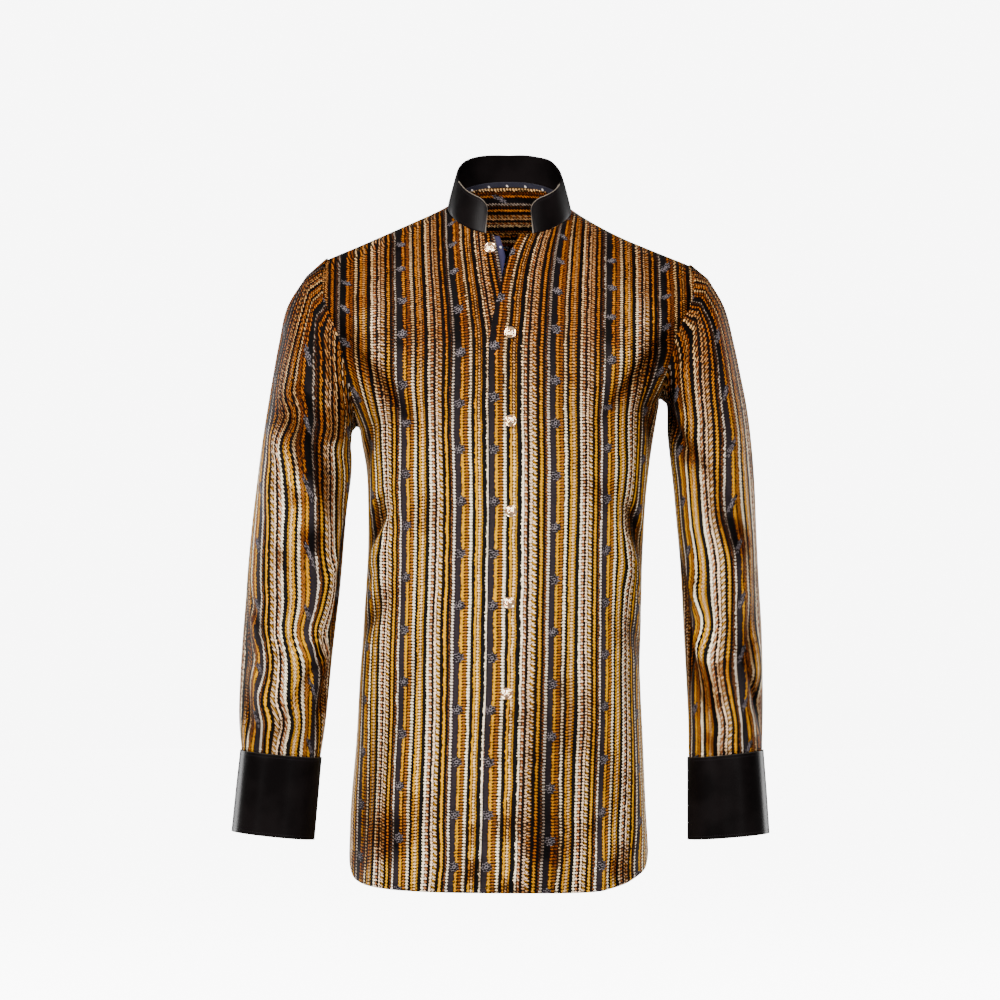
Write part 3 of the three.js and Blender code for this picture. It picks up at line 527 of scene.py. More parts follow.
# %% Cloth coordinates of the fronts
REPEAT = 64.0
BEAD = 3.5
LEAN_REACH = 75.0
CHEST_Z = -170
EDGE_LINE = float(edge.over(CHEST_Z))
UNDER_SHIFT = 36.4
print("the over front's edge lies at x", EDGE_LINE)


def front_cloth(points, t, over, angle):
    """Cloth coordinates of a front: distance from the lapping edge, and length up the cloth."""
    z = front_height(t)
    start = edge.over(z)
    straight = np.where(z < CHEST_Z, start, EDGE_LINE)
    round_body = along(points, 1)
    x = points[..., 0]
    arc = start + round_body if over else edge.under(z) - round_body
    across = arc + (x - arc) * smooth(t / 2.5) - straight
    if over:
        near = np.exp(-np.clip(x - start, 0, None) / LEAN_REACH)
        tucked = 5.5 * smooth((z + 135) / 60)
        across = across - (start - straight - tucked) * near
        across = np.interp(across, [0, 68, 129.6, 600], [0, 64, 128, 618])
    else:
        near = np.exp(np.clip(x + 20, None, 0) / LEAN_REACH)
        across = across + 21 * smooth((z + 160) / 150) * near + UNDER_SHIFT
    across = across + folds(BODY_SWAY, MM_PER_DEGREE, angle, points[..., 2])
    return np.stack([across, along(points, 0)], -1)


# %% The two fronts
def lap_sink(x, z):
    """How far the under front lies behind the over front."""
    return LAP_STEP * smooth((x - edge.over(z) + 12) / 9)


def front_panel(side):
    """Points of a front, from its free edge round to the side seam."""
    t, cut = panel_rows(-1, 11)
    over = side > 0
    z = front_height(t)
    free = edge.over(z) if over else edge.under(z)
    share = spread(0, 1, 60, (0.003, 0.007, 0.993, 0.998))[None, :]
    first = angle_at(free, t)
    angle = first + (side * (90 - cut) - first) * share
    t = t + 0 * angle
    points = torso(angle, t)
    if not over:
        sink = lap_sink(points[..., 0], front_height(t))
        points = points - torso_normal(angle, t) * sink[..., None]
    return points, front_cloth(points, t, over, angle), fold_shade(torso_lift(angle, t))


front_left, front_right = both_sides(front_panel, "front", "_cloth", CLOTH, RIGHT)


# %% The back and the yoke
def back_points(low, high):
    """Points of the back or the yoke, from the wearer's left round to the right."""
    t, cut = panel_rows(low, high)
    share = spread(0, 1, 110, (0.002, 0.004, 0.996, 0.998))[None, :]
    angle = 90 + cut + (180 - 2 * cut) * share
    t = t + 0 * angle
    return torso(angle, t), angle, fold_shade(torso_lift(angle, t))


back_grid, back_angle, back_marks = back_points(-1, YOKE_STEP)
middle = back_grid.shape[1] // 2
round_back = along(back_grid, 1)
round_back = round_back - round_back[:, middle:middle + 1]
round_back = round_back + folds(BODY_SWAY, MM_PER_DEGREE, back_angle, back_grid[..., 2])
# Whole repeats keep the place across the cloth above 0.
back_cloth = np.stack([round_back + 20 * REPEAT, along(back_grid, 0)], -1)
back = cloth_piece("back_cloth", back_grid, back_cloth, CLOTH, "back", marks=back_marks)

# %% [markdown]
# ## The sleeves
# A sleeve is a tube that is sewn to the armhole. Its rings are given by their outer and inner
# points as seen from the front, which sets each bend where a chain of bones would only twist
# evenly. A named curve says at which turn the middle stripe lies as the arm hangs.

# %% The armhole seam
def armhole(side, turn):
    """A point of the armhole seam, and the way from there into the sleeve."""
    step = np.where(turn <= 180, ARM_STEPS - turn / 18, turn / 18 - ARM_STEPS)
    front = np.where(turn <= 180, 1, -1)

    def point_of(k, f):
        return torso(side * (90 - f * arm_cut(k)), arm_ring(k))

    n = torso_normal(side * (90 - front * arm_cut(step)), arm_ring(step))
    low = np.clip(step - 0.4, 0, ARM_STEPS)
    high = np.clip(step + 0.4, 0, ARM_STEPS)
    way = (point_of(low, front) - point_of(high, front)) * front[..., None]
    for end, near in ((0, 0.5), (ARM_STEPS, ARM_STEPS - 0.5)):
        near = near + 0 * step
        round_end = point_of(near, -1) - point_of(near, 1)
        way = np.where((np.abs(step - end) <= 0.01)[..., None], round_end, way)
    away = unit(np.cross(way, n))
    p = point_of(step, front)
    heart = np.array([side * 200, 4, -150]) - p
    return p, away * np.sign((away * heart).sum(-1, keepdims=True))


print("top of the left armhole", armhole(LEFT, np.zeros((1, 1)))[0])


# %% Points of a sleeve
def tube(rings, turn, row):
    side, front = section(turn, SLEEVE_ROUND)
    outer = np.stack([rings.outer_x(row), 0 * row, rings.outer_z(row)], -1)
    inner = np.stack([rings.inner_x(row), 0 * row, rings.inner_z(row)], -1)
    p = (outer + inner) / 2 + (outer - inner) / 2 * front[..., None]
    p[..., 1] = rings.middle_y(row) - rings.half(row) * side
    return p


def tube_surface(rows, side, turn, row):
    """A point of a tube of rings, and its outward direction."""
    rings = curves(SLEEVE_NAMES, rows[side])
    last = rows[side][-1][0]
    out = facing(lambda u, v: tube(rings, u, v), turn, row, 1, 0.05, 0, last)
    return tube(rings, turn, row), out * side


def sleeve_point(side, turn, row):
    """A point of the sleeve with its folds, and how far they lift it."""
    p, out = tube_surface(SLEEVE_ROWS, side, turn, row)
    broad = folds(SLEEVE_FOLDS[side], 1, turn, p[..., 2])
    sharp = folds(SLEEVE_CREASES[side], 1, turn, p[..., 2])
    fade = smooth((SLEEVE_END - row) / 0.8) * smooth(row / 1.5)
    lift = fade * (broad + sharp * CREASE_DEPTH)
    front = np.exp(-(((np.abs(turn) - 88) / 40) ** 2))
    lift = lift - 2.2 * front * np.exp(-(((row - 0.25) / 0.3) ** 2))
    return p + out * lift[..., None], lift


print("elbow of the left sleeve", sleeve_point(LEFT, np.array(0.0), np.array(6.0))[0])


# %% The sleeves
MIDDLE_STRIPE = {
    RIGHT: curve([-1, 0, 0.5, 1, 1.6, 5.5, 8.4, 10.6, 12], [70, 62, 70, 78, 81, 102, 121, 138, 145]),
    LEFT: curve([-1, 0, 1.7, 5.4, 8, 9.4, 12], [64, 56, 62, 74, 69, 71, 63]),
}
HEAD_ROW = 4.5
HEAD_LEAN = {RIGHT: -0.028, LEFT: -0.06}


def head_across(side, points, turn, rows, across):
    """Near the armhole the stripes run on straight up the sleeve, until they meet the seam."""
    low = int(np.argmin(np.abs(rows[:, 0] - HEAD_ROW)))
    heart = (points[low].max(0) + points[low].min(0)) / 2
    axis_x = heart[0] - side * HEAD_LEAN[side] * (heart[2] - points[..., 2])
    bearing = np.degrees(np.arctan2(heart[1] - points[..., 1], (points[..., 0] - axis_x) * side))
    bearing = np.abs(bearing) * np.where(turn < 0, -1, 1)
    known = bearing[low].copy()
    known[0] = -180
    known[-1] = 180
    straight = np.interp(bearing, known, across[low])
    share = smooth((np.abs(turn) - 45) / 45) * (1 - smooth((rows - 3) / 1.5))
    share = share * np.where(rows < -0.5, 0.5, 1)
    return across + (straight - across) * share


def sleeve_grid(side):
    """Points and cloth coordinates of a sleeve, from the armhole down to the cuff."""
    turn = np.linspace(-180, 180, 97)[None, :]
    seam, away = armhole(side, turn % 360)
    rows = np.linspace(0, SLEEVE_END, 105)[:, None]
    lower, lift = sleeve_point(side, turn + 0 * rows, rows + 0 * turn)
    points = np.concatenate([seam - away * 0.1, seam + away * 2.4, lower])
    points[:, -1] = points[:, 0]
    row = np.concatenate([[[-1]], [[-0.9]], rows])
    length = along(points, 1)
    where = MIDDLE_STRIPE[side](row)
    start = np.array([np.interp(w, turn[0], s) for w, s in zip(where[:, 0], length)])
    across = head_across(side, points, turn, row, start[:, None] - length)
    across = across + folds(SLEEVE_SWAY[side], 1, turn, points[..., 2]) * smooth(row)
    down = along(points, 0)
    lift = np.pad(lift, [(2, 0), (0, 0)])
    return points, np.stack([across + 40 * REPEAT, 600 - down], -1), fold_shade(lift)


sleeve_left, sleeve_right = both_sides(sleeve_grid, "sleeve", "_cloth", CLOTH, LEFT, True)

# %% [markdown]
# ## Collar and cuffs
# The black satin collar stands on the neck seam and leans in, with round front corners. A cuff
# is a tall band with one end inside the other. Both are placed point by point like the cloth,
# because a cut cylinder would neither lean nor wave.

# %% The collar
def collar_point(angle, up):
    """A point of the collar at a height over the neck seam, and its outward direction."""
    top = 0 * angle + NECK
    seam = torso(angle, top)
    away = unit(seam - torso(angle, top - 0.05))
    out = unit(np.stack([seam[..., 0], seam[..., 1] - 8, 0 * angle], -1))
    normal = torso_normal(angle, top)
    base = seam + away * 0.1 + normal * 0.5
    lean = np.radians(COLLAR_LEAN)
    rise = np.array([0, 0, np.cos(lean)]) - out * np.sin(lean)
    n = out * np.cos(lean) + np.array([0, 0, np.sin(lean)])
    bend = smooth(up / 6)[..., None]
    return base + rise * up[..., None], unit(n * bend + normal * (1 - bend))


COLLAR_START = float(angle_at(COLLAR_END, NECK))
COLLAR_RISE = curve([0, 60, 90, 104, 118, 134, 150, 180], [0, 0, 2, 5, 7.2, 7.4, 5.6, 3.2])


def collar_grid():
    k = np.linspace(0, 1, 161)[None, :]
    even = np.where(k < 0.5, 2 * k, 2 - 2 * k)
    turn = (360 - 2 * COLLAR_START) * 0.5 * even ** 1.25
    angle = np.where(k <= 0.5, COLLAR_START + turn, 360 - COLLAR_START - turn)
    dip = np.clip(COLLAR_CORNER - turn, 0, None)
    fall = COLLAR_CORNER - np.sqrt(COLLAR_CORNER ** 2 - dip ** 2)
    share = spread(0, 1, 16, (0.02, 0.98))[:, None]
    height = COLLAR_HEIGHT + COLLAR_RISE(np.minimum(angle, 360 - angle)) - fall
    up = share * height
    points, out = collar_point(angle + 0 * up, up)
    wave = 0.35 * np.sin(np.radians(angle * 9)) + 0.25 * np.sin(np.radians(angle * 14 + 40))
    puff = 0.7 * np.sin(np.pi * share) ** 0.5 + wave * share ** 2
    points = points + out * puff[..., None]
    from_end = ends_inset(along(points, 1))
    # The distance to the edge places the stitches, and a painted highlight along the ends and the
    # front of the top edge.
    inset = np.minimum(from_end, height - up + 60 * smooth((from_end - 62) / 20))
    return points, plain_cloth(points), {"inset": inset}


points, cloth, marks = collar_grid()
collar = cloth_piece("collar_satin", points, cloth, SATIN, "collar", marks=marks)


# %% The yoke, which ends in a strip inside the collar
def yoke_piece():
    """The yoke's stripes run from arm to arm, level with the seam that joins it to the back."""
    grid, angle, marks = back_points(YOKE_STEP, 11)
    up = np.array([1.0, 2.5, 4.0, 5.5, 6.4])[:, None]
    turn = angle[-1:]
    inside = collar_point(turn + 0 * up, up + 0 * turn)[0]
    depth = (SATIN + 0.3) * smooth(up / 1.6)[..., None]
    inside = inside - collar_point(turn, 12 + 0 * turn)[1] * depth
    grid = np.concatenate([grid, inside])
    marks["fold_shade"] = np.pad(marks["fold_shade"], [(0, len(up)), (0, 0)])
    seam = grid[0][np.argsort(grid[0, :, 0])]
    seam_y = np.interp(grid[..., 0], seam[:, 0], seam[:, 1])
    seam_z = np.interp(grid[..., 0], seam[:, 0], seam[:, 2])
    run = np.hypot(grid[..., 1] - seam_y, grid[..., 2] - seam_z)
    cloth = np.stack([run + 30 * REPEAT, along(grid, 1) + 1000], -1)
    return cloth_piece("yoke_cloth", grid, cloth, CLOTH, "yoke", marks=marks)


yoke = yoke_piece()


# %% The cuffs
def cuff_point(side, turn, row):
    p, n = tube_surface(CUFF_ROWS, side, turn, row)
    return p + n * CUFF_PROUD, n


def cuff_grid(side):
    span = 360 + CUFF_LAP
    turn = spread(CUFF_START, CUFF_START + span, 128)[None, :]
    near = np.minimum(turn - CUFF_START, CUFF_START + span - turn) * 0.72
    dip = np.clip(CUFF_CORNER - near, 0, None)
    rise = CUFF_CORNER - np.sqrt(CUFF_CORNER ** 2 - dip ** 2)
    share = spread(0, 1, 20, (0.01, 0.99))[:, None]
    row = share * (1 - rise / 91)
    points, out = cuff_point(side, turn + 0 * row, row)
    inward = (SATIN + SEAM + 0.4) * smooth((turn - CUFF_START - 340) / 18)
    ridge = np.sin(np.radians(turn * 7)) * 0.35 + np.sin(np.radians(turn * 11 + 50)) * 0.25
    points = points + out * (ridge * smooth(share / 0.5) - inward)[..., None]
    run = along(points, 1)
    height = along(points, 0)
    # The distance to the edge places the stitches and a faint painted highlight.
    inset = np.minimum(ends_inset(run), np.minimum(height, height[-1:] - height))
    return points, np.stack([run, height + 400], -1), {"inset": inset}


cuff_left, cuff_right = both_sides(cuff_grid, "cuff", "_satin", SATIN, LEFT)

# %% [markdown]
# ## Navy strips
# A navy strip backs the open edge of the under front, and a navy tape covers the neck seam.
# Both are laid a fixed distance inside the walls that carry them, so neither pokes through.

# %% The navy strips
def strip_grid():
    t = np.linspace(9.98, 8, 41)[:, None]
    near = np.interp(t, [8, 9, 9.98], [-12.6, -19, -24])
    far = np.interp(t, [8, 9, 9.98], [-7.6, -3.8, -10.5])
    x = near + (far - near) * np.linspace(0, 1, 9)[None, :]
    t = t + 0 * x
    angle = angle_at(x, t)
    points = torso(angle, t)
    deep = lap_sink(points[..., 0], front_height(t)) + CLOTH + SEAM + 0.25
    return points - torso_normal(angle, t) * deep[..., None]


def tape_grid():
    angle = np.linspace(78, 282, 121)[None, :]
    up = np.linspace(6.3, 12.3, 9)[:, None]
    points = collar_point(angle + 0 * up, up + 0 * angle)[0]
    wall_side = collar_point(angle, 12 + 0 * angle)[1]
    return points - wall_side * (SATIN + SEAM + 0.2)


strip = strip_grid()
facing_strip = cloth_piece("facing_navy", strip, plain_cloth(strip), TAPE, "facing_strip", True)
tape = tape_grid()
neck_tape = cloth_piece("neck_tape_navy", tape, plain_cloth(tape), TAPE, "neck_tape")

# %% [markdown]
# ## Buttons
# A gold button has a raised rim and a low star of rays that catches the light. Its section is
# spun round, as on a lathe, and then the face is lifted and lowered to make the rays. A bump
# would not show in the shape.

# %% Buttons
FACE = 4.8
RAYS = 10
RAY_LIFT = 0.28
BUTTON_SECTION = [
    (0, 0), (5.4, 0), (6.2, 0.2), (6.7, 0.9), (6.8, 1.6), (6.6, 2.2), (6.2, 2.5), (5.7, 2.4),
    (5.3, 2.1), (4.9, 2.2), (4.3, 2.7), (3.4, 3.1), (2.4, 3.2), (1.6, 3.3), (0.9, 3.6), (0, 3.7),
]


def button(node, centre, normal):
    """A spun button that stands at a centre and faces along a normal."""
    bm = bmesh.new()
    verts = [bm.verts.new((x, 0, z)) for x, z in BUTTON_SECTION]
    for a, b in zip(verts, verts[1:]):
        bm.edges.new((a, b))
    bmesh.ops.spin(
        bm, geom=bm.verts[:] + bm.edges[:], cent=(0, 0, 0), axis=(0, 0, 1),
        angle=2 * np.pi, steps=60, use_merge=True, use_duplicate=False,
    )
    bmesh.ops.remove_doubles(bm, verts=bm.verts, dist=1e-4)
    for v in bm.verts:
        r = np.hypot(v.co.x, v.co.y)
        if v.co.z > 1.9 and r < FACE:
            ray = np.cos(RAYS * np.arctan2(v.co.y, v.co.x))
            v.co.z += RAY_LIFT * ray * np.clip(r / 3.4, 0, 1) * np.clip(FACE - r, 0, 1)
    bmesh.ops.recalc_face_normals(bm, faces=bm.faces)
    turn = Vector((0, 0, 1)).rotation_difference(Vector(normal)).to_matrix().to_4x4()
    place = Matrix.Translation(Vector(centre) * MM) @ turn @ Matrix.Scale(MM, 4)
    bmesh.ops.transform(bm, matrix=place, verts=bm.verts)
    piece = mesh_object("gold_" + node, bm)
    piece.data.shade_smooth()
    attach(piece, "root")
    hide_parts(node)
    return piece


UNDER_BUTTON = -21.0
BUTTON_HEIGHTS = [-47, -141, -238, -337, -438, -538]
buttons = []
for number, z in enumerate(BUTTON_HEIGHTS, 1):
    t = np.array(ring_at_height(z))
    x = np.array(UNDER_BUTTON) if number == 1 else edge.button(z)
    angle = angle_at(x, t)
    normal = torso_normal(angle, t)
    sunk = lap_sink(x, z) if number == 1 else 0
    centre = torso(angle, t) + normal * (SEAM + 0.05 - sunk)
    buttons.append(button("button_%d" % number, centre, normal))
for side, word in SIDES:
    turn = np.array(CUFF_START + CUFF_LAP / 2)
    point, normal = cuff_point(side, turn, np.array(0.5))
    buttons.append(button("cuff_button_" + word, point + normal * (SEAM + 0.05), normal))
print("buttons", len(buttons))

# %% [markdown]
# ## Writing materials as sums
# A finish reads better as a formula than as a web of nodes. A Field wraps one socket: sums and
# products of fields add Math nodes, and one method makes any other node.

# %% The Field class
def srgb(text):
    """A linear colour from six hexadecimal digits."""
    parts = [int(text[i:i + 2], 16) / 255 for i in (0, 2, 4)]
    return [p / 12.92 if p < 0.04045 else ((p + 0.055) / 1.055) ** 2.4 for p in parts] + [1]


class Field:
    """One value, vector or colour that varies over a surface."""

    def __init__(self, tree, socket=None):
        self.tree = tree
        self.socket = socket

    def node(self, kind, values, settings=None, out=0):
        """Any node: its settings are set first, then the values or links of its sockets."""
        made = self.tree.nodes.new("ShaderNode" + kind)
        for name, value in (settings or {}).items():
            setattr(made, name, value)
        for name, value in values.items():
            if isinstance(value, Field):
                self.tree.links.new(value.socket, made.inputs[name])
            else:
                made.inputs[name].default_value = value
        return Field(self.tree, made.outputs[out])

    def ramp(self, stops, steps="CONSTANT"):
        """A colour for each stretch of the value."""
        made = self.tree.nodes.new("ShaderNodeValToRGB")
        made.color_ramp.interpolation = steps
        elements = made.color_ramp.elements
        for place, colour in stops[2:]:
            elements.new(place)
        for stop, (place, colour) in zip(elements, stops):
            stop.position = place
            stop.color = colour
        self.tree.links.new(self.socket, made.inputs[0])
        return Field(self.tree, made.outputs[0])

    def part(self, number):
        """One of the three numbers of a vector."""
        return self.node("SeparateXYZ", {"Vector": self}, out=number)

    def noise(self, scale, detail):
        return self.node("TexNoise", {"Vector": self, "Scale": scale, "Detail": detail})

    def scaled(self, by):
        return self.node("VectorMath", {0: self, "Scale": by}, {"operation": "SCALE"})

    def math(self, operation, *others):
        return self.node("Math", dict(enumerate((self,) + others)), {"operation": operation})

    def __add__(self, other):
        return self.math("ADD", other)

    __radd__ = __add__

    def __mul__(self, other):
        return self.math("MULTIPLY", other)

    __rmul__ = __mul__

    def __sub__(self, other):
        return self.math("SUBTRACT", other)

    def __rsub__(self, other):
        return self * -1 + other

    def __truediv__(self, other):
        return self.math("DIVIDE", other)

    def clamp(self):
        return self.math("MAXIMUM", 0).math("MINIMUM", 1)

    def sine(self):
        return self.math("SINE")

    def fraction(self):
        return self - self.math("FLOOR")

    def step(self, low, high):
        """0 below low and 1 above high, with a soft slope between them."""
        return ((self - low) / (high - low)).clamp()

    def line(self, inner, outer):
        """1 where the value is close to 0, and 0 farther than outer from it."""
        return 1 - self.math("ABSOLUTE").step(inner, outer)

    def mix(self, first, second):
        """Used as a share: the first colour at 0, the second at 1."""
        first, second = [srgb(c) if isinstance(c, str) else c for c in (first, second)]
        return self.node("Mix", {0: self, 6: first, 7: second}, {"data_type": "RGBA"}, 2)


print("white is", srgb("ffffff"))


# %% Starting and ending a material
def material(name, roughness, metallic=0.0, gloss=0.5):
    """A material with its shader's constants set, and a first field to build on."""
    made = bpy.data.materials.new(name)
    made.use_nodes = True
    inputs = made.node_tree.nodes["Principled BSDF"].inputs
    inputs["Roughness"].default_value = roughness
    inputs["Metallic"].default_value = metallic
    inputs["Specular IOR Level"].default_value = gloss
    return made, Field(made.node_tree)


def places(start):
    """Across and along the cloth in mm, and the place on the object."""
    uv = start.node("UVMap", {}, {"uv_map": "cloth"})
    return uv.part(0) * 1000, uv.part(1) * 1000, start.node("TexCoord", {}, out=3)


def finish(made, colour, roughness, relief, strength, deep=0.2):
    """Link the fields of a finish to its shader. The relief is so many mm deep."""
    values = {"Strength": strength, "Distance": deep * MM, "Height": relief}
    fields = {"Base Color": colour, "Roughness": roughness, "Normal": relief.node("Bump", values)}
    for name, field in fields.items():
        made.node_tree.links.new(field.socket, made.node_tree.nodes["Principled BSDF"].inputs[name])
    print(made.name, "nodes", len(made.node_tree.nodes))
    return made


# %% [markdown]
# ## The striped cloth
# The cloth shows cords: bands, chains, dots and twisted cords. A chart lists them in
# order, each with its width in millimetres and two colours: one for the yellow cloth, and one
# of darker amber for painted shade at the top of the chest, in places near the hem, in other
# patches and in fold troughs. Formulas draw them, which stay sharp at any size and need no image
# file.

# %% The stripe chart: width, colour, amber colour for painted shade, height of its cord, how beaded it is
CHART = [
    (7.2, "1f1a1c", "050404", 0.2, 0),
    (4.7, "b47d00", "8c4702", 0.8, 0.25),
    (5.3, "8c5600", "743402", 0.5, 1),
    (4.2, "ffecc8", "bd8f58", 1, 0.75),
    (2.9, "060505", "040303", 0, 0),
    (3.5, "b47d00", "8c4702", 0.84, 0.25),
    (3.4, "e8bd88", "a86c30", 0.52, 0.9),
    (2.3, "a06e00", "763702", 0.7, 0.3),
    (4.5, "0a090a", "030202", 0.04, 0),
    (3.5, "ffecc8", "c2935a", 0.96, 0.5),
    (3.3, "a8683a", "803f14", 0.68, 0.7),
    (2.5, "060505", "040303", 0, 0),
    (3.1, "f4cfa6", "a8703a", 0.9, 0.6),
    (5.2, "966500", "7a3a02", 0.76, 0.8),
    (2.9, "060505", "040303", 0, 0),
    (4, "b47d00", "8c4702", 0.88, 0.25),
    (2.4, "060505", "040303", 0, 0),
    (2.5, "6a3f1e", "40200c", 0.46, 0.9),
    (3.2, "e8d6c0", "7c6a5c", 0.58, 0.9),
]
total = sum(row[0] for row in CHART)
STARTS = [sum(row[0] for row in CHART[:number]) for number in range(len(CHART))]
print("chart adds up to", round(total, 1), "mm, drawn over", REPEAT)


def stops_of(pick):
    """Ramp stops for one column of the chart, each band starting where the last one ends."""
    return [(start / total, pick(row)) for start, row in zip(STARTS, CHART)]


def middle_of(number):
    """Where the middle of a band lies in the repeat, and half its width, both in mm."""
    half = CHART[number][0] / 2
    return (STARTS[number] + half) * REPEAT / total, half * REPEAT / total


def outline_stops():
    """Stops that rise from 0 at the edges of a bright band to 1 along its middle."""
    stops = []
    before = False
    for start, row in zip(STARTS, CHART):
        bright = row[3] > 0.3
        if bright or before:
            stops.append((start / total, [0] * 4))
        if bright:
            stops.append(((start + row[0] / 2) / total, [1] * 4))
        before = bright
    return stops + [(1, [0] * 4)]


print("outline stops", len(outline_stops()))


# %% The striped material
SOOT = "070301"
ROSETTE_STEP = 57.5
ROSETTE_ACROSS = 6.0
ROSETTE_TONE = "645c5e"
HEM_STITCH = 6.5


def striped(name):
    made, start = material(name, 0.62, gloss=0.015)
    u, v, place = places(start)
    fold_shade = start.node("Attribute", {}, {"attribute_name": "fold_shade"}, 2)
    side = place.part(0).math("ABSOLUTE")
    height = place.part(2)
    slow = place.noise(34, 2)
    patch = place.noise(15, 3)
    fine = place.noise(420, 1)
    phase = v * (2 * np.pi / BEAD)
    u = u + (phase + u * 1.7).sine() * 0.5 + (slow - 0.5) * 2.0 + (fine - 0.5) * 1.9
    repeats = u / REPEAT
    band = repeats.math("FLOOR")
    share = repeats - band
    across = share * REPEAT
    colour = share.ramp(stops_of(lambda r: srgb(r[1])))
    # The chart's darker amber colours, used for the painted shade.
    shaded_colour = share.ramp(stops_of(lambda r: srgb(r[2])))
    raised = share.ramp(stops_of(lambda r: [r[3]] * 4))
    beaded = share.ramp(stops_of(lambda r: [r[4]] * 4))
    profile = share.ramp(outline_stops(), "LINEAR")
    # Painted shade: the cloth turns to its darker amber colours at the top of the chest, in noise
    # patches low on the body, in noise patches all over that grow on the sleeves, a little over all
    # of each sleeve, and in the fold troughs.
    top = height.step(-0.29, -0.14)
    bottom = (1 - height.step(-0.76, -0.60)) * patch.step(0.45, 0.56)
    sleeve = side.step(0.168, 0.184)
    patches = patch.step(0.56, 0.66) * (sleeve * 0.55 + 0.4)
    painted_shade = (top * 0.9 + bottom + patches + fold_shade * 0.8 + sleeve * 0.2).clamp()
    colour = painted_shade.mix(colour, shaded_colour)

    def slash(number, period, lean, share_dark):
        """Slanting strokes across a band, as the turns of a twisted cord."""
        centre, half = middle_of(number)
        away = across - centre
        run = ((v + away * lean) / period).fraction()
        dark = 1 - run.step(share_dark - 0.12, share_dark + 0.12)
        return dark * away.line(half - 0.5, half)

    colour = slash(2, BEAD, 0.0, 0.3).mix(colour, painted_shade.mix("a8683a", "753b12"))
    colour = slash(13, 2 * BEAD, 0.5, 0.5).mix(colour, painted_shade.mix("e8c8a4", "ac753d"))
    colour = slash(10, 2 * BEAD, 0.6, 0.4).mix(colour, painted_shade.mix("f1ceac", "ac753d"))

    # The dark outlines of the cords widen and break up more in the painted shade.
    loops = (phase + raised * 23).sine()
    swing = beaded * 0.34 + 0.2 + painted_shade * 0.12
    pinch = beaded * 0.26 + 0.32 + painted_shade * 0.36 + swing * loops
    tear = (fine - 0.5) * (painted_shade * 0.7 + 0.7)
    bright = raised.step(0.3, 0.35)
    edge_line = (1 - (profile - pinch + tear).step(-0.12, 0.08)) * bright
    colour = (edge_line * 0.97).mix(colour, SOOT)
    between = (fine - 0.5 - loops).step(0.3, 0.9)
    specks = profile.step(0.45, 0.7) * between * bright
    colour = (specks * (beaded * 0.7 + 0.15)).mix(colour, "1c0904")

    run = ((v / ROSETTE_STEP + (band * 0.5).fraction()).fraction() - 0.5) * ROSETTE_STEP
    away = across - ROSETTE_ACROSS
    turn = away.math("ARCTAN2", run)
    far = (away * away + run * run).math("SQRT")
    lobes = far - (turn * 7).math("COSINE") * 0.8
    colour = (1 - lobes.step(5.6, 6.2)).mix(colour, "060506")
    knots = (turn * 14 + 0.6).sine().step(-0.5, 0.1)
    colour = ((lobes - 4.4).line(0.4, 0.9) * knots * 0.9).mix(colour, ROSETTE_TONE)
    colour = ((far - 1.7).line(0.3, 0.7) * 0.8).mix(colour, ROSETTE_TONE)

    # Fine grain, and painted shade that darkens the fold troughs; the hem stitch line is darker as
    # well.
    grain_and_shade = (fine - 0.5) * 0.8 + 1.0 - fold_shade.clamp() * 0.45
    hem_line = (v - HEM_STITCH).line(0.3, 0.7)
    grain_and_shade = grain_and_shade * (1 - hem_line * 0.45)
    knit = (phase + across * 0.9).sine()
    relief = profile * 0.7 + raised * 0.3 + loops * 0.12 + fine * 0.2 + knit * 0.12 - hem_line * 0.6
    roughness = raised * 0.08 + fine * 0.12 + 0.48
    return finish(made, colour.scaled(grain_and_shade), roughness, relief, 0.5, 0.6)


cloth_finish = striped("striped_cloth_finish")
for piece in (front_left, front_right, back, yoke, sleeve_left, sleeve_right):
    piece.data.materials.append(cloth_finish)

# %% [markdown]
# ## Black satin
# Satin is smooth, with fine threads that run one way: a noise stretched along the thread, with slow
# patches that paint a soft sheen. Each point stores how far it lies from the edge, which places a
# painted highlight along the edges and the stitches without extra geometry.

# %% The satin material
STITCH_INSET = 3.7


def satin(name):
    made, start = material(name, 0.3, gloss=0.02)
    u, v, place = places(start)
    inset = start.node("Attribute", {}, {"attribute_name": "inset"}, 2)
    uv = start.node("UVMap", {}, {"uv_map": "cloth"})
    threads = uv.node("Mapping", {"Vector": uv, "Scale": (3000, 260, 1)}).noise(1, 2)
    slow = place.noise(22, 3)
    # Thread texture, and slow lighter patches in the near-black: painted sheen for the soft
    # highlights of the satin.
    colour = (threads * 0.4 + slow.step(0.4, 0.6) * 0.6).mix("040303", "0c0909")
    # Painted highlight: a grey-beige line along the edges, where light catches the rounded edge;
    # full on the collar, faint on the cuffs.
    collar = 1 - v.step(200, 201)
    cord = 1 - inset.step(0.5, 1.0)
    colour = (cord * (collar * 0.9 + 0.1)).mix(colour, "60584e")
    dashes = ((u + v) * (2 * np.pi / 2.6)).sine().step(-0.2, 0.2)
    seam = inset - STITCH_INSET
    colour = (seam.line(0.2, 0.5) * dashes * 0.7).mix(colour, "1a1719")
    relief = threads + slow * 2 - seam.line(0.3, 0.8) * 2
    return finish(made, colour, slow * 0.12 + threads * 0.06 + 0.24, relief, 0.12)


satin_finish = satin("black_satin_finish")
for piece in (collar, cuff_left, cuff_right):
    piece.data.materials.append(satin_finish)

# %% [markdown]
# ## Navy tape and gold
# The navy tape is a plain weave, the product of two waves. The gold is polished but handled, so
# one noise varies both its tone and its roughness.

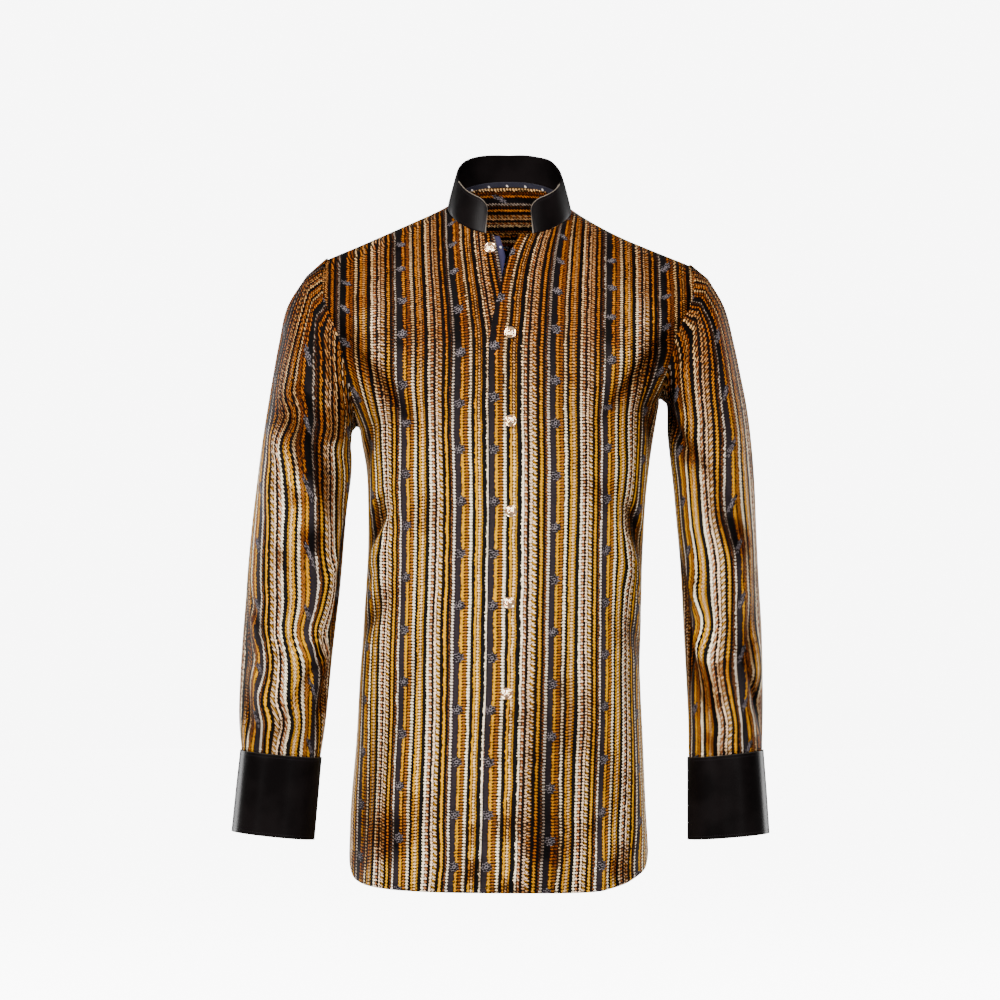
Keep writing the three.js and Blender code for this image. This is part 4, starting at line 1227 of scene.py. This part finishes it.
# %% The navy material
def navy(name, place_u, place_v, period, tone_and_shade=1.0):
    """Plain weave with pale stitches at one place, repeated along the tape. The last factor darkens
    it, which on the neck tape is painted shade.
    """
    made, start = material(name, 0.6, gloss=0.2)
    u, v, _ = places(start)
    weave = (u * 9).sine() * (v * 9).sine()
    tone = (weave * 0.5 + 0.5).mix("13102a", "201a3e").scaled(tone_and_shade)
    run = (((u - place_u) / period + 0.5).fraction() - 0.5) * period
    away = v - place_v
    far = (run * run + away * away * 0.6).math("SQRT")
    colour = (1 - far.step(0.8, 1.3)).mix(tone, "a89f98")
    return finish(made, colour, weave * 0.06 + 0.6, weave, 0.3)


facing_strip.data.materials.append(navy("navy_strip_finish", 11.5, 14.5, 200.0, 0.7))
# Inside the collar the tape is darkened to 0.18 of its navy: painted shade.
neck_tape.data.materials.append(navy("navy_tape_finish", 8.0, 1.4, 20.7, 0.18))


# %% The gold material
def gold(name):
    made, start = material(name, 0.24, metallic=1.0)
    wear = start.node("TexCoord", {}, out=3).noise(420, 3)
    return finish(made, wear.step(0.35, 0.7).mix("e2b47c", "f4dcc0"), wear * 0.16 + 0.12, wear, 0.15)


gold_finish = gold("pale_gold_finish")
for piece in buttons:
    piece.data.materials.append(gold_finish)

# %% [markdown]

# %% [markdown]
# ## Floor and light
# A pale floor lies below the shirt. Two tall soft lights stand in front, a weak one hangs
# above, and two stand at the sides, a little behind. Right behind the shirt, they would leave a
# glare along its edges.

# %% The floor
PAPER_GLOW = 8.0
FLOOR_Z = -1.02
bm = bmesh.new()
bmesh.ops.create_circle(bm, cap_ends=True, radius=9.0, segments=64)
bmesh.ops.translate(bm, vec=(0, 0, FLOOR_Z), verts=bm.verts)
floor = mesh_object("floor", bm)
pale, _ = material("pale_paper", 0.9)
pale_inputs = pale.node_tree.nodes["Principled BSDF"].inputs
pale_inputs["Base Color"].default_value = (0.86, 0.86, 0.86, 1)
pale_inputs["Emission Color"].default_value = (1, 1, 1, 1)
pale_inputs["Emission Strength"].default_value = PAPER_GLOW
floor.visible_diffuse = False
floor.visible_glossy = False
floor.data.materials.append(pale)
print("floor at z", FLOOR_Z)


# %% The lights
CHEST = Vector((0, 0, -0.35))


def soft_light(name, place, size, power, aim=CHEST):
    data = bpy.data.lights.new(name, "AREA")
    data.shape = "RECTANGLE"
    data.size, data.size_y = size
    data.energy = power
    made = add_object(name, data)
    made.location = place
    made.rotation_euler = (aim - Vector(place)).to_track_quat("-Z", "Y").to_euler()


soft_light("key", (-2.2, -2.9, 1.5), (0.8, 1.4), 430)
soft_light("fill", (1.3, -3.1, 1.0), (0.6, 1.4), 240)
soft_light("top", (0, 0.2, 2.4), (2.4, 2.4), 8, Vector((0, 0, -0.3)))
soft_light("back_left", (-2.2, 1.6, -0.2), (1.0, 1.4), 120)
soft_light("back_right", (2.2, 1.7, -0.2), (1.0, 1.4), 110)
world = bpy.data.worlds.new("studio")
world.use_nodes = True
seen = Field(world.node_tree).node("LightPath", {})
sky = world.node_tree.nodes["Background"]
sky.inputs["Color"].default_value = (1, 1, 1, 1)
world.node_tree.links.new((seen * (PAPER_GLOW - 0.3) + 0.3).socket, sky.inputs["Strength"])
bpy.context.scene.world = world
print("lights", len(bpy.data.lights))
